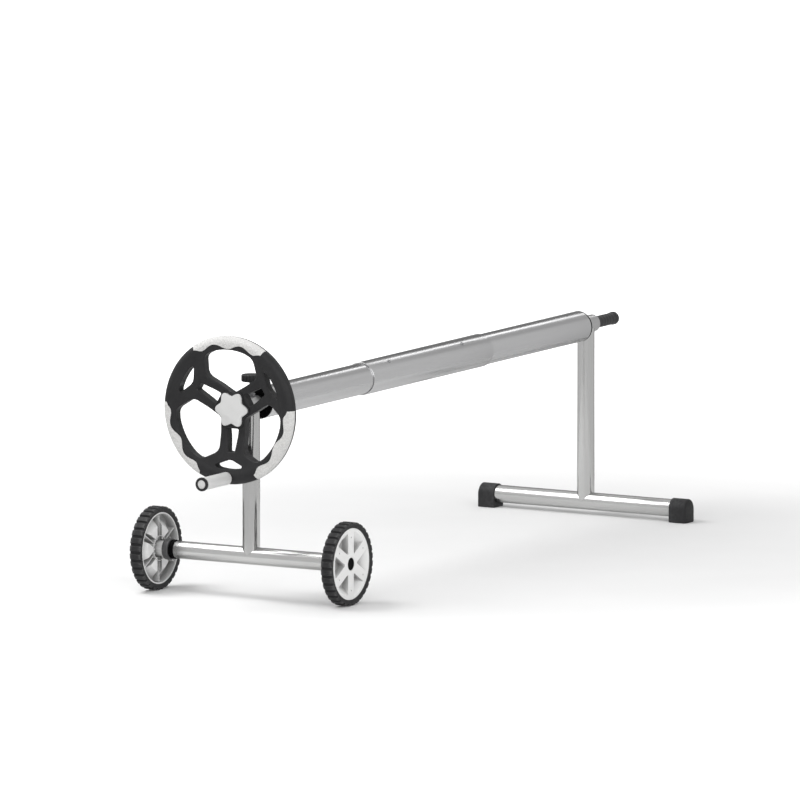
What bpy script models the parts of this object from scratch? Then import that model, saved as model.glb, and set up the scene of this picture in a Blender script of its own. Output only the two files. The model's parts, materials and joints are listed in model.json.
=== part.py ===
"""Pool cover reel: a telescopic reel tube on a wheeled stand and a footed stand, turned by a handwheel.

X runs along the reel from the handwheel to the lifting handle, Z is up, and the origin is on the floor
under the middle of the whole reel. Sizes are in metres.
"""
from math import asin, atan2, cos, pi, radians, sin, tan

import bmesh
import bpy
from mathutils import Matrix, Vector

# Whole reel
REEL_HEIGHT = 0.462
STAND_SPACING = 1.604
HANDWHEEL_REACH = 0.236
HANDLE_REACH = 0.136
GAP = 0.0003
RUNNING_GAP = 0.0004

# Stands
UPRIGHT_DIAMETER = 0.042
CROSS_TUBE_DIAMETER = 0.0424
STAND_WALL = 0.0015
HOUSING_WALL = 0.002
HOUSING_OUTER_REACH = 0.0326
HOUSING_INNER_REACH = 0.022
BUSH_DEPTH = 0.014
OUTER_FLANGE = 0.003
AXLE_TUBE_LENGTH = 0.410
BASE_TUBE_LENGTH = 0.566

# Feet of the far stand
FOOT_WALL = 0.002
FOOT_SOLE = 0.011
FOOT_ARCH_LIFT = 0.001
FOOT_LENGTH = 0.0455
FOOT_END_WALL = 0.0055
FOOT_BOTTOM_RADIUS = 0.003
FOOT_END_ROUNDING = ((0.006, 1.0), (0.0022, 0.965), (0.0, 0.90))

# Reel tubes and their end caps
REEL_DIAMETER = 0.075
REEL_WALL = 0.0015
SLEEVE_WALL = 0.0021
SLEEVE_LENGTH = 0.570
TUBE_OVERLAP = 0.284
CAP_FACE = 0.034
CAP_FLANGE = 0.005
CAP_SPIGOT = 0.025
CAP_BOSS = 0.035
CAP_BOSS_RADIUS = 0.017
CAP_WALL = 0.003
SHAFT_RADIUS = 0.011
PIN_RADIUS = 0.003
NEAR_SCREW_INSET = 0.096
FAR_SCREW_INSET = 0.123
SCREW_ANGLE = radians(35.5)
SCREW_RADIUS = 0.0024
SCREW_HEAD_RADIUS = 0.0045
SCREW_HEAD_HEIGHT = 0.0022

# Handwheel, seen from its front, with the stand behind it
WHEEL_RADIUS = 0.1775
RIM_WIDTH = 0.0315
RIM_DEPTH = 0.0262
RIM_FRONT = 0.1155
RIM_CROWN = 0.0045
RIM_SHOULDER = ((0.0095, 0.0012), (0.0055, 0.0037), (0.0025, 0.0068), (0.0008, 0.0098), (0.0, 0.0145))
RIM_BACK_BEVEL = 0.0030
SPOKE_FRONT = 0.088
SPOKE_DEPTH = 0.0235
SPOKE_HALF_WIDTH = 0.033
SPOKE_ANGLES = (radians(60), radians(180), radians(300))
DISH_WIDTH = 0.038
DISH_SHOULDER = 0.042
DISH_RISE = 0.0085
HUB_RADIUS = 0.047
HUB_BOSS_RADIUS = 0.020
OPENING_HALF_WIDTH = 0.071
OPENING_SHOULDER = 0.018
OPENING_CORNER_RADIUS = 0.021
OPENING_APEX_RADIUS = 0.012
SLOT_START = 0.0455
SLOT_DISH_GAP = 0.0025
SLOT_HALF_WIDTH = 0.0162
SLOT_TIP_HALF_WIDTH = 0.0095
FLARE_HEIGHT = 0.0245
FLARE_HALF_WIDTH = 0.040
FLARE_RIM_GAP = 0.004
CUTOUT_CORNER_RADIUS = 0.003
STAR_PAD = 0.003
NUT_RECESS = 0.0095
STAR_MARGIN = 0.0035
KNOB_LOBES = 6
KNOB_MEAN_RADIUS = 0.0385
KNOB_LOBE_HEIGHT = 0.0055
KNOB_THICKNESS = 0.0055
KNOB_BOSS_RADIUS = 0.0125
SQUARE_END = 0.015
STUD_RADIUS = 0.006
SHAFT_SHOULDER = 0.050
WASHER_THICKNESS = 0.002
GRIP_HALF_ANGLE = radians(33.5)
GRIP_MEAN_WIDTH = 0.0237
GRIP_WAVE_HEIGHT = 0.0056
GRIP_WAVE_ANGLE = radians(27)
GRIP_TAPER = 0.0103
GRIP_CORNER_ANGLE = radians(6)
GRIP_END_WIDTH = 0.012
GRIP_PROUD = 0.0008
GRIP_SUNK = 0.0020
GRIP_GAP = 0.0006
GRIP_BACK_LIFT = 0.0097

# Crank grip on the handwheel
CRANK_GRIP_RADIUS = 0.0155
CRANK_RING_RADIUS = 0.0165
CRANK_BOLT_RADIUS = 0.005
CRANK_HEAD_RADIUS = 0.009
CRANK_HEAD_HEIGHT = 0.004
CRANK_HEAD_INSET = 0.011
CRANK_SOCKET_RADIUS = 0.0130
CRANK_SPIGOT_RADIUS = 0.0127
CRANK_RING_BORE = 0.0104
CRANK_RING_DEPTH = 0.004
CRANK_RING_BEVEL = 0.0015
CRANK_CAP_RADIUS = 0.0120

# Lock on the near housing
LOCK_BOLT_RADIUS = 0.005
LOCK_PAD_RADIUS = 0.0045
LOCK_PAD_THICKNESS = 0.003
LOCK_KNOB_RADIUS = 0.024
LOCK_KNOB_HEIGHT = 0.017
LOCK_KNOB_LIFT = 0.057
LOCK_FLUTES = 18
LOCK_NUT_FLATS = 0.017
LOCK_NUT_HEIGHT = 0.008

# Road wheels
ROAD_WHEEL_RADIUS = 0.100
ROAD_WHEEL_TRACK = 0.526
TYRE_WIDTH = 0.030
TYRE_THICKNESS = 0.014
LUG_COUNT = 32
LUG_HEIGHT = 0.0042
LUG_TOP_SHARE = 0.28
LUG_FOOT_SHARE = 0.38
HUB_RECESS = 0.003
HUB_DEPTH = 0.025
HUB_WALL = 0.003
HUB_SPOKES = 6
HUB_SPOKE_HALF_WIDTH = 0.013
POCKET_DEPTH = 0.020
POCKET_TOP_RADIUS = 0.077
POCKET_FLOOR_RADIUS = 0.054
BEARING_RADIUS = 0.0255
BEARING_LENGTH = 0.015
BEARING_REACH = 0.045
AXLE_BOLT_RADIUS = 0.006
AXLE_BOLT_HEAD_RADIUS = 0.0105
AXLE_BOLT_HEAD_HEIGHT = 0.0058
BOLT_POCKET_DEPTH = 0.010
HUB_CAP_RADIUS = 0.015
COLLAR_EDGE = 0.0018
COLLAR_THICKNESS = 0.0124
PLUG_DEPTH = 0.035

# Lifting handle of the far stand
HANDLE_GRIP_RADIUS = 0.0147
HANDLE_END_RADIUS = 0.0157
HANDLE_CORE_RADIUS = 0.011
HANDLE_PLUG_START = 0.008
HANDLE_END_WALL = 0.006
HANDLE_END_LENGTH = 0.011
HANDLE_RIBS = 7
HANDLE_RIB_DEPTH = 0.0008

# Sides of round pieces
WHEEL_SIDES = 48
REEL_SIDES = 28
TUBE_SIDES = 24
BUSH_SIDES = 16
BOLT_SIDES = 12

NEAR_X = (HANDWHEEL_REACH - HANDLE_REACH - STAND_SPACING) / 2
FAR_X = NEAR_X + STAND_SPACING
CROSS_RADIUS = CROSS_TUBE_DIAMETER / 2
UPRIGHT_RADIUS = UPRIGHT_DIAMETER / 2
BASE_TUBE_HEIGHT = FOOT_SOLE + GAP + CROSS_RADIUS
REEL_RADIUS = REEL_DIAMETER / 2
HOUSING_BORE = CROSS_RADIUS - HOUSING_WALL
RIM_INNER_RADIUS = WHEEL_RADIUS - RIM_WIDTH
CRANK_RADIUS = WHEEL_RADIUS - RIM_WIDTH / 2
DISH_END = RIM_INNER_RADIUS - DISH_SHOULDER
DISH_START = DISH_END - DISH_WIDTH
SLEEVE_BORE = REEL_RADIUS + RUNNING_GAP
SLEEVE_RADIUS = SLEEVE_BORE + SLEEVE_WALL
TUBE_START = CAP_FACE + CAP_FLANGE
SLEEVE_START = (STAND_SPACING - SLEEVE_LENGTH) / 2

ALONG_X = Matrix.Rotation(pi / 2, 4, "Y")
ALONG_Y = Matrix.Rotation(-pi / 2, 4, "X")
ALONG_Z = Matrix.Identity(4)

COLOURS = {
    "steel": ((0.62, 0.62, 0.61), 0.16, 1.0),
    "dark_steel": ((0.30, 0.30, 0.31), 0.30, 1.0),
    "aluminium": ((0.66, 0.66, 0.67), 0.34, 1.0),
    "black_plastic": ((0.040, 0.040, 0.042), 0.45, 0.0),
    "grey_plastic": ((0.60, 0.60, 0.59), 0.45, 0.0),
    "grip": ((0.66, 0.65, 0.63), 0.60, 0.0),
    "hub_plastic": ((0.72, 0.72, 0.72), 0.42, 0.0),
    "rubber": ((0.035, 0.035, 0.036), 0.70, 0.0),
}


def clear_scene():
    for obj in list(bpy.data.objects):
        bpy.data.objects.remove(obj)


def material_for(name, kind):
    colour, roughness, metallic = COLOURS[kind]
    material = bpy.data.materials.new(name)
    material.use_nodes = True
    shader = material.node_tree.nodes["Principled BSDF"]
    shader.inputs["Base Color"].default_value = (*colour, 1.0)
    shader.inputs["Roughness"].default_value = roughness
    shader.inputs["Metallic"].default_value = metallic
    return material


def empty(name, location, parent=None):
    obj = bpy.data.objects.new(name, None)
    bpy.context.scene.collection.objects.link(obj)
    obj.location = location
    obj.parent = parent
    return obj


def mesh_object(name, body, parent, location=(0, 0, 0)):
    """Closes the body's normals outwards and puts it in the scene under its parent."""
    bmesh.ops.recalc_face_normals(body, faces=body.faces)
    mesh = bpy.data.meshes.new(name)
    body.to_mesh(mesh)
    body.free()
    mesh.shade_smooth()
    mesh.set_sharp_from_angle(angle=radians(35))
    obj = bpy.data.objects.new(name, mesh)
    bpy.context.scene.collection.objects.link(obj)
    obj.parent = parent
    obj.location = location
    return obj


def piece(name, body, kind, parent, location=(0, 0, 0)):
    obj = mesh_object(name, body, parent, location)
    obj.data.materials.append(material_for(name + "_material", kind))
    return obj


def boolean(obj, body, operation):
    """Cuts the body from the object, or joins it on, with a hidden helper in the object's own frame."""
    name = f"{obj.name}_{operation.lower()}_{len(obj.modifiers)}"
    helper = mesh_object(name, body, obj.parent, obj.location)
    helper.hide_render = True
    helper.display_type = "WIRE"
    modifier = obj.modifiers.new(operation.lower(), "BOOLEAN")
    modifier.operation = operation
    modifier.solver = "EXACT"
    modifier.object = helper


def cut(obj, body):
    boolean(obj, body, "DIFFERENCE")


def join(obj, body):
    boolean(obj, body, "UNION")


def turned(profile, sides, axis=ALONG_X):
    """Turns a closed profile of (radius, distance along the axis) points into a body."""
    body = bmesh.new()
    points = [body.verts.new((radius, 0, distance)) for radius, distance in profile]
    ends = list(zip(points, points[1:] + points[:1]))
    if profile[0][0] == 0 and profile[-1][0] == 0:
        ends.pop()
    edges = [body.edges.new(pair) for pair in ends]
    bmesh.ops.spin(
        body, geom=points + edges, cent=(0, 0, 0), axis=(0, 0, 1), angle=2 * pi, steps=sides, use_merge=True
    )
    bmesh.ops.remove_doubles(body, verts=body.verts, dist=1e-6)
    bmesh.ops.transform(body, matrix=axis, verts=body.verts)
    return body


def rod(radius, start, end, sides, axis=ALONG_X):
    return turned([(0, start), (radius, start), (radius, end), (0, end)], sides, axis)


def ring(inner, outer, start, end, sides, axis=ALONG_X):
    return turned([(inner, start), (outer, start), (outer, end), (inner, end)], sides, axis)


def lofted(outlines):
    """Joins outlines of equally many 3-D points, one after another, and closes both ends."""
    body = bmesh.new()
    rows = [[body.verts.new(point) for point in outline] for outline in outlines]
    for low, high in zip(rows, rows[1:]):
        for i in range(len(low)):
            body.faces.new((low[i - 1], low[i], high[i], high[i - 1]))
    body.faces.new(rows[0])
    body.faces.new(rows[-1])
    return body


def prism(outline, start, end, axis=ALONG_X):
    """Extrudes a flat outline along an axis. With ALONG_X the outline is in (Y, Z)."""
    places = {
        id(ALONG_X): lambda u, v, w: (w, u, v),
        id(ALONG_Y): lambda u, v, w: (u, w, v),
        id(ALONG_Z): lambda u, v, w: (u, v, w),
    }
    place = places[id(axis)]
    return lofted([[place(u, v, w) for u, v in outline] for w in (start, end)])


def merged(bodies):
    """One body out of several that don't touch."""
    whole = bmesh.new()
    for body in bodies:
        mesh = bpy.data.meshes.new("part")
        bmesh.ops.recalc_face_normals(body, faces=body.faces)
        body.to_mesh(mesh)
        body.free()
        whole.from_mesh(mesh)
        bpy.data.meshes.remove(mesh)
    return whole


def circle(radius, sides, first=0.0):
    angles = [first + 2 * pi * i / sides for i in range(sides)]
    return [(radius * cos(angle), radius * sin(angle)) for angle in angles]


def rounded(corners, steps=3):
    """Closed outline through corners given as (u, v, radius), each an arc that touches both its sides."""
    outline = []
    for i, (u, v, radius) in enumerate(corners):
        corner = Vector((u, v))
        if radius == 0:
            outline.append((u, v))
            continue
        before = (Vector(corners[i - 1][:2]) - corner).normalized()
        after = (Vector(corners[(i + 1) % len(corners)][:2]) - corner).normalized()
        half = before.angle(after) / 2
        centre = corner + (before + after).normalized() * radius / sin(half)
        start = corner + before * radius / tan(half) - centre
        end = corner + after * radius / tan(half) - centre
        first = atan2(start.y, start.x)
        sweep = (atan2(end.y, end.x) - first + pi) % (2 * pi) - pi
        for step in range(steps + 1):
            angle = first + sweep * step / steps
            outline.append((centre.x + radius * cos(angle), centre.y + radius * sin(angle)))
    return outline


def turned_outline(outline, angle):
    """The outline turned about the axis by an angle counted from up towards +Y."""
    return [(u * cos(angle) + v * sin(angle), v * cos(angle) - u * sin(angle)) for u, v in outline]


def upright(name, foot_height, parent):
    """Round post between a cross tube at foot_height and the bearing housing, saddled at each end."""
    body = ring(UPRIGHT_RADIUS - STAND_WALL, UPRIGHT_RADIUS, foot_height, REEL_HEIGHT, TUBE_SIDES, ALONG_Z)
    post = piece(name, body, "steel", parent)
    saddle = CROSS_RADIUS + GAP
    half = UPRIGHT_DIAMETER
    foot = rod(saddle, -half, half, TUBE_SIDES, ALONG_Y)
    bmesh.ops.translate(foot, vec=(0, 0, foot_height), verts=foot.verts)
    cut(post, foot)
    top = rod(saddle, -half, half, TUBE_SIDES, ALONG_X)
    bmesh.ops.translate(top, vec=(0, 0, REEL_HEIGHT), verts=top.verts)
    cut(post, top)
    return post


def housing(name, outwards, parent):
    """Short tube across the top of an upright. outwards is -1 at the handwheel and 1 at the handle."""
    start, end = sorted((outwards * HOUSING_OUTER_REACH, -outwards * HOUSING_INNER_REACH))
    body = ring(HOUSING_BORE, CROSS_RADIUS, start, end, TUBE_SIDES)
    return piece(name, body, "aluminium", parent, (0, 0, REEL_HEIGHT))


def bush(name, mouth, inwards, flange, flange_radius, parent):
    """Flanged bearing bush whose flange sits on the housing's mouth. inwards is the direction into it."""
    seat = mouth - inwards * GAP
    bore = SHAFT_RADIUS + RUNNING_GAP
    shank = HOUSING_BORE - GAP
    profile = [
        (bore, seat - inwards * flange),
        (flange_radius, seat - inwards * flange),
        (flange_radius, seat),
        (shank, seat),
        (shank, mouth + inwards * BUSH_DEPTH),
        (bore, mouth + inwards * BUSH_DEPTH),
    ]
    return piece(name, turned(profile, BUSH_SIDES), "black_plastic", parent, (0, 0, REEL_HEIGHT))


def inner_bush(name, outwards, parent):
    """Bush on the reel's side of a housing, whose thick flange fills the space up to the reel's end cap."""
    mouth = -outwards * HOUSING_INNER_REACH
    flange = CAP_FACE - HOUSING_INNER_REACH - 2 * GAP - 2 * RUNNING_GAP
    return bush(name, mouth, outwards, flange, CROSS_RADIUS, parent)


def end_cap(name, base, inwards, parent):
    """Moulded plug of a reel tube. base is the place of its outer face and inwards points into the tube."""
    bore = SHAFT_RADIUS + GAP
    spigot = REEL_RADIUS - REEL_WALL - GAP
    rise = base + inwards * CAP_FLANGE
    profile = [
        (bore, base),
        (REEL_RADIUS, base),
        (REEL_RADIUS, rise - inwards * GAP),
        (spigot, rise - inwards * GAP),
        (spigot, rise + inwards * CAP_SPIGOT),
        (spigot - CAP_WALL, rise + inwards * CAP_SPIGOT),
        (spigot - CAP_WALL, rise),
        (CAP_BOSS_RADIUS, rise),
        (CAP_BOSS_RADIUS, rise + inwards * CAP_BOSS),
        (bore, rise + inwards * CAP_BOSS),
    ]
    cap = piece(name, turned(profile, TUBE_SIDES), "black_plastic", parent)
    cut(cap, pin_hole(base, inwards, PIN_RADIUS + GAP))
    return cap


def pin_place(base, inwards):
    return base + inwards * (CAP_FLANGE + (CAP_SPIGOT + CAP_BOSS) / 2)


def pin_hole(base, inwards, radius):
    hole = rod(radius, -CAP_BOSS_RADIUS - GAP, CAP_BOSS_RADIUS + GAP, BOLT_SIDES, ALONG_Y)
    bmesh.ops.translate(hole, vec=(pin_place(base, inwards), 0, 0), verts=hole.verts)
    return hole


def shaft_pin(name, base, inwards, parent):
    """Cross pin that holds a shaft in its end cap."""
    half = CAP_BOSS_RADIUS - GAP
    body = rod(PIN_RADIUS, -half, half, BOLT_SIDES, ALONG_Y)
    return piece(name, body, "dark_steel", parent, (pin_place(base, inwards), 0, 0))


def near_stand():
    stand = empty("near_stand", (NEAR_X, 0, 0))
    upright("near_upright", ROAD_WHEEL_RADIUS, stand)
    half = AXLE_TUBE_LENGTH / 2
    axle = ring(CROSS_RADIUS - STAND_WALL, CROSS_RADIUS, -half, half, TUBE_SIDES, ALONG_Y)
    piece("axle_tube", axle, "steel", stand, (0, 0, ROAD_WHEEL_RADIUS))
    shell = housing("near_housing", -1, stand)
    cut(shell, rod(LOCK_BOLT_RADIUS + RUNNING_GAP, 0, CROSS_TUBE_DIAMETER, BOLT_SIDES, ALONG_Z))
    bush("near_outer_bush", -HOUSING_OUTER_REACH, 1, OUTER_FLANGE, CROSS_RADIUS, stand)
    inner_bush("near_inner_bush", -1, stand)
    for side, name in ((1, "left"), (-1, "right")):
        axle_plug(name, side, stand)
        road_wheel(name, side, stand)
    lock(stand)


def lock(stand):
    """Knob and bolt that press a pad on the reel's shaft, through a nut on top of the near housing."""
    saddle = CROSS_RADIUS + GAP
    hexagon = circle(LOCK_NUT_FLATS / 2 / cos(pi / 6), 6)
    nut = piece(
        "lock_nut",
        prism(hexagon, 0, saddle + LOCK_NUT_HEIGHT, ALONG_Z),
        "dark_steel",
        stand,
        (0, 0, REEL_HEIGHT),
    )
    cut(nut, rod(saddle, -LOCK_NUT_FLATS, LOCK_NUT_FLATS, TUBE_SIDES))
    cut(nut, rod(LOCK_BOLT_RADIUS + RUNNING_GAP, 0, 2 * saddle, BOLT_SIDES, ALONG_Z))
    axis = empty("lock_axis", (0, 0, REEL_HEIGHT), stand)
    pad_bottom = SHAFT_RADIUS + GAP
    pad_top = pad_bottom + LOCK_PAD_THICKNESS
    pad = rod(LOCK_PAD_RADIUS, pad_bottom, pad_top, BOLT_SIDES, ALONG_Z)
    piece("lock_pad", pad, "dark_steel", axis)
    socket = LOCK_KNOB_LIFT + LOCK_KNOB_HEIGHT / 2
    bolt = rod(LOCK_BOLT_RADIUS, pad_top + GAP, socket - GAP, BOLT_SIDES, ALONG_Z)
    piece("lock_bolt", bolt, "dark_steel", axis)
    knob = piece("lock_knob", fluted_knob(), "black_plastic", axis)
    cut(knob, rod(LOCK_BOLT_RADIUS + GAP, LOCK_KNOB_LIFT - LOCK_KNOB_HEIGHT, socket, BOLT_SIDES, ALONG_Z))


def fluted_knob():
    """Low round knob with finger flutes and a bevelled top edge."""
    flute = 0.0007
    bevel = 0.0015
    top = LOCK_KNOB_LIFT + LOCK_KNOB_HEIGHT
    levels = ((LOCK_KNOB_LIFT, 0), (top - bevel, 0), (top, bevel))
    outlines = []
    for height, inset in levels:
        outline = []
        for i in range(2 * LOCK_FLUTES):
            angle = pi * i / LOCK_FLUTES
            radius = LOCK_KNOB_RADIUS - inset - 2 * flute * (i % 2)
            outline.append((radius * cos(angle), radius * sin(angle), height))
        outlines.append(outline)
    return lofted(outlines)


def axle_plug(name, side, stand):
    """Plug in the end of the axle tube, with a collar that the road wheel's bearing runs against."""
    end = AXLE_TUBE_LENGTH / 2 + GAP
    bore = AXLE_BOLT_RADIUS + GAP
    spigot = CROSS_RADIUS - STAND_WALL - GAP
    profile = [
        (bore, side * (end + COLLAR_THICKNESS)),
        (CROSS_RADIUS + COLLAR_EDGE, side * (end + COLLAR_THICKNESS)),
        (CROSS_RADIUS + COLLAR_EDGE, side * end),
        (spigot, side * end),
        (spigot, side * (end - PLUG_DEPTH)),
        (bore, side * (end - PLUG_DEPTH)),
    ]
    body = turned(profile, BUSH_SIDES, ALONG_Y)
    piece(name + "_axle_plug", body, "black_plastic", stand, (0, 0, ROAD_WHEEL_RADIUS))


def road_wheel(name, side, stand):
    axis = empty(name + "_wheel_axis", (0, side * ROAD_WHEEL_TRACK / 2, ROAD_WHEEL_RADIUS), stand)
    tyre(name, axis)
    road_hub(name, side, axis)
    face = side * (TYRE_WIDTH / 2 - HUB_RECESS)
    lid = rod(HUB_CAP_RADIUS, face - side * 0.0035, face - side * 0.001, BUSH_SIDES, ALONG_Y)
    piece(name + "_hub_cap", lid, "black_plastic", axis)
    seat = face - side * (BOLT_POCKET_DEPTH - GAP)
    head = prism(circle(AXLE_BOLT_HEAD_RADIUS, 6), seat, seat + side * AXLE_BOLT_HEAD_HEIGHT, ALONG_Y)
    bolt = piece(name + "_axle_bolt", head, "dark_steel", stand, axis.location)
    inner_end = side * (AXLE_TUBE_LENGTH / 2 - 0.030) - axis.location.y
    join(bolt, rod(AXLE_BOLT_RADIUS, inner_end, seat + side * 0.002, BOLT_SIDES, ALONG_Y))


def tyre(name, axis):
    """Rubber ring with bars across its tread."""
    outline = []
    pitch = 2 * pi / LUG_COUNT
    valley = ROAD_WHEEL_RADIUS - LUG_HEIGHT
    for lug in range(LUG_COUNT):
        middle = (lug + 0.5) * pitch - pi / 2
        for shift, radius in (
            (-LUG_FOOT_SHARE, valley),
            (-LUG_TOP_SHARE, ROAD_WHEEL_RADIUS),
            (LUG_TOP_SHARE, ROAD_WHEEL_RADIUS),
            (LUG_FOOT_SHARE, valley),
        ):
            angle = middle + shift * pitch
            outline.append((radius * cos(angle), radius * sin(angle)))
    half = TYRE_WIDTH / 2
    obj = piece(name + "_tyre", prism(outline, -half, half, ALONG_Y), "rubber", axis)
    cut(obj, rod(ROAD_WHEEL_RADIUS - TYRE_THICKNESS, -TYRE_WIDTH, TYRE_WIDTH, REEL_SIDES, ALONG_Y))


def road_hub(name, side, axis):
    """Moulded wheel hub: a rim band and a face, with six scooped pockets between flat spokes."""
    face = TYRE_WIDTH / 2 - HUB_RECESS
    back = face - HUB_DEPTH
    rim = ROAD_WHEEL_RADIUS - TYRE_THICKNESS - GAP
    web = face - HUB_WALL
    boss = HUB_CAP_RADIUS + GAP + HUB_WALL
    bore = AXLE_BOLT_RADIUS + RUNNING_GAP
    socket = HUB_CAP_RADIUS + GAP
    floor = face - BOLT_POCKET_DEPTH
    profile = [
        (bore, -BEARING_REACH),
        (BEARING_RADIUS, -BEARING_REACH),
        (BEARING_RADIUS, BEARING_LENGTH - BEARING_REACH),
        (boss, BEARING_LENGTH - BEARING_REACH),
        (boss, web),
        (rim - HUB_WALL, web),
        (rim - HUB_WALL, back),
        (rim, back),
        (rim, face),
        (socket, face),
        (socket, floor),
        (bore, floor),
    ]
    body = turned([(radius, side * place) for radius, place in profile], REEL_SIDES, ALONG_Y)
    hub = piece(name + "_wheel_hub", body, "hub_plastic", axis)
    angles = [(i + 0.5) * 2 * pi / HUB_SPOKES for i in range(HUB_SPOKES)]
    join(hub, merged([pocket(angle, side, face - HUB_WALL / 3, HUB_WALL) for angle in angles]))
    cut(hub, merged([pocket(angle, side, face + HUB_WALL, 0.0) for angle in angles]))


def pocket(angle, side, top, skin):
    """Wedge between two hub spokes with a sloping outer wall, larger all round by skin."""
    face = TYRE_WIDTH / 2 - HUB_RECESS
    offset = HUB_SPOKE_HALF_WIDTH - skin
    slope = (POCKET_TOP_RADIUS - POCKET_FLOOR_RADIUS) / POCKET_DEPTH
    bottom = face - POCKET_DEPTH - skin
    outlines = []
    for level in (top, bottom):
        radius = POCKET_TOP_RADIUS - slope * (face - level) + skin * (1 + slope * slope) ** 0.5
        half = pi / HUB_SPOKES - asin(offset / radius)
        outline = [(0.0, offset / sin(pi / HUB_SPOKES))]
        for step in range(5):
            turn = half * (1 - step / 2)
            outline.append((radius * sin(turn), radius * cos(turn)))
        outline = turned_outline(outline, angle)
        outlines.append([(u, side * level, v) for u, v in outline])
    return lofted(outlines)


def rim_section():
    """Outer part of the rim's section, from its front crest round the outside to where the grips end."""
    return [
        (CRANK_RADIUS, RIM_FRONT),
        *[(WHEEL_RADIUS - inset, RIM_FRONT - drop) for inset, drop in RIM_SHOULDER],
        (WHEEL_RADIUS, RIM_FRONT - RIM_DEPTH + GRIP_BACK_LIFT),
    ]


def rim_face(radius):
    """Depth of the rim's crowned front at a radius between its inner edge and its crest."""
    share = (CRANK_RADIUS - radius) / (CRANK_RADIUS - RIM_INNER_RADIUS)
    return RIM_FRONT - RIM_CROWN * max(share, 0) ** 2


def handwheel(reel):
    """Moulded three-spoke wheel, dished towards the user, with slots, flares and recesses for its grips."""
    inner = RIM_INNER_RADIUS
    back = RIM_FRONT - RIM_DEPTH
    dish_face = SPOKE_FRONT + DISH_RISE
    pad_face = SPOKE_FRONT + STAR_PAD
    recess_floor = pad_face - NUT_RECESS
    hub_back = HOUSING_OUTER_REACH + GAP + OUTER_FLANGE + GAP
    front = [
        (SQUARE_END / 4, SPOKE_FRONT),
        (DISH_START, SPOKE_FRONT),
        (DISH_END, dish_face),
        (inner, rim_face(inner)),
        (inner + RIM_WIDTH / 4, rim_face(inner + RIM_WIDTH / 4)),
    ]
    rear = [
        (WHEEL_RADIUS, back + RIM_BACK_BEVEL),
        (WHEEL_RADIUS - RIM_BACK_BEVEL, back),
        (inner, rim_face(inner) - SPOKE_DEPTH),
        (DISH_END, dish_face - SPOKE_DEPTH),
        (DISH_START, SPOKE_FRONT - SPOKE_DEPTH),
        (HUB_RADIUS, SPOKE_FRONT - SPOKE_DEPTH),
        (HUB_BOSS_RADIUS + 0.004, SPOKE_FRONT - SPOKE_DEPTH - 0.003),
        (HUB_BOSS_RADIUS, hub_back),
        (SHAFT_RADIUS + GAP, hub_back),
        (SHAFT_RADIUS + GAP, SHAFT_SHOULDER + GAP),
        (SQUARE_END / 4, SHAFT_SHOULDER + GAP),
    ]
    profile = [(radius, -depth) for radius, depth in front + rim_section() + rear]
    body = turned(profile, WHEEL_SIDES)
    # The seams are turned off the corners of the openings and of the star.
    bmesh.ops.transform(body, matrix=Matrix.Rotation(pi / (3.5 * WHEEL_SIDES), 4, "X"), verts=body.verts)
    wheel = piece("handwheel", body, "black_plastic", reel)
    pad = prism(star(STAR_MARGIN, 6), -pad_face, -SPOKE_FRONT + 0.002)
    join(wheel, pad)
    cut(wheel, rod(KNOB_BOSS_RADIUS + GAP, -pad_face - 0.01, -recess_floor, BUSH_SIDES))
    half = SQUARE_END / 2 + GAP
    square = [(-half, -half), (half, -half), (half, half), (-half, half)]
    cut(wheel, prism(square, -pad_face, -0.045))
    through = (-RIM_FRONT - 0.02, -SPOKE_FRONT + SPOKE_DEPTH + 0.02)
    openings = []
    for angle in SPOKE_ANGLES:
        openings.append(prism(turned_outline(opening_outline(), angle + pi), *through))
        openings.append(prism(turned_outline(slot_outline(), angle), *through))
        openings.append(prism(turned_outline(flare_outline(), angle), *through))
    cut(wheel, merged(openings))
    recesses = [grip_body(angle + pi, GRIP_SUNK + GRIP_GAP, 0.004, GRIP_GAP) for angle in SPOKE_ANGLES]
    cut(wheel, merged(recesses))
    seat = rod(CRANK_BOLT_RADIUS + GAP, -RIM_FRONT - 0.01, -back - 0.003, BOLT_SIDES)
    bmesh.ops.translate(seat, vec=(0, 0, -CRANK_RADIUS), verts=seat.verts)
    cut(wheel, seat)
    return wheel


def opening_outline():
    """Large opening between two spokes, centred on straight up."""
    apex = SPOKE_HALF_WIDTH / sin(radians(60))
    shoulder = (SPOKE_HALF_WIDTH + OPENING_HALF_WIDTH / 2) / sin(radians(60))
    side = [
        (OPENING_HALF_WIDTH, shoulder, OPENING_CORNER_RADIUS),
        (OPENING_HALF_WIDTH - 0.004, RIM_INNER_RADIUS - OPENING_SHOULDER, OPENING_CORNER_RADIUS),
    ]
    other = [(-u, v, radius) for u, v, radius in reversed(side)]
    return rounded([(0, apex, OPENING_APEX_RADIUS)] + side + rim_arc(RIM_INNER_RADIUS, 18) + other)


def rim_arc(radius, half_angle):
    """Corners along an arc about the wheel's axis, centred on straight up."""
    turns = [radians(half_angle * share) for share in (1, 0.5, 0, -0.5, -1)]
    return [(radius * sin(turn), radius * cos(turn), 0) for turn in turns]


def slot_outline():
    """Tapered slot along a spoke."""
    end = DISH_END - SLOT_DISH_GAP
    corners = (
        (-SLOT_HALF_WIDTH, SLOT_START),
        (SLOT_HALF_WIDTH, SLOT_START),
        (SLOT_TIP_HALF_WIDTH, end),
        (-SLOT_TIP_HALF_WIDTH, end),
    )
    return rounded([(u, v, CUTOUT_CORNER_RADIUS) for u, v in corners])


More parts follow.
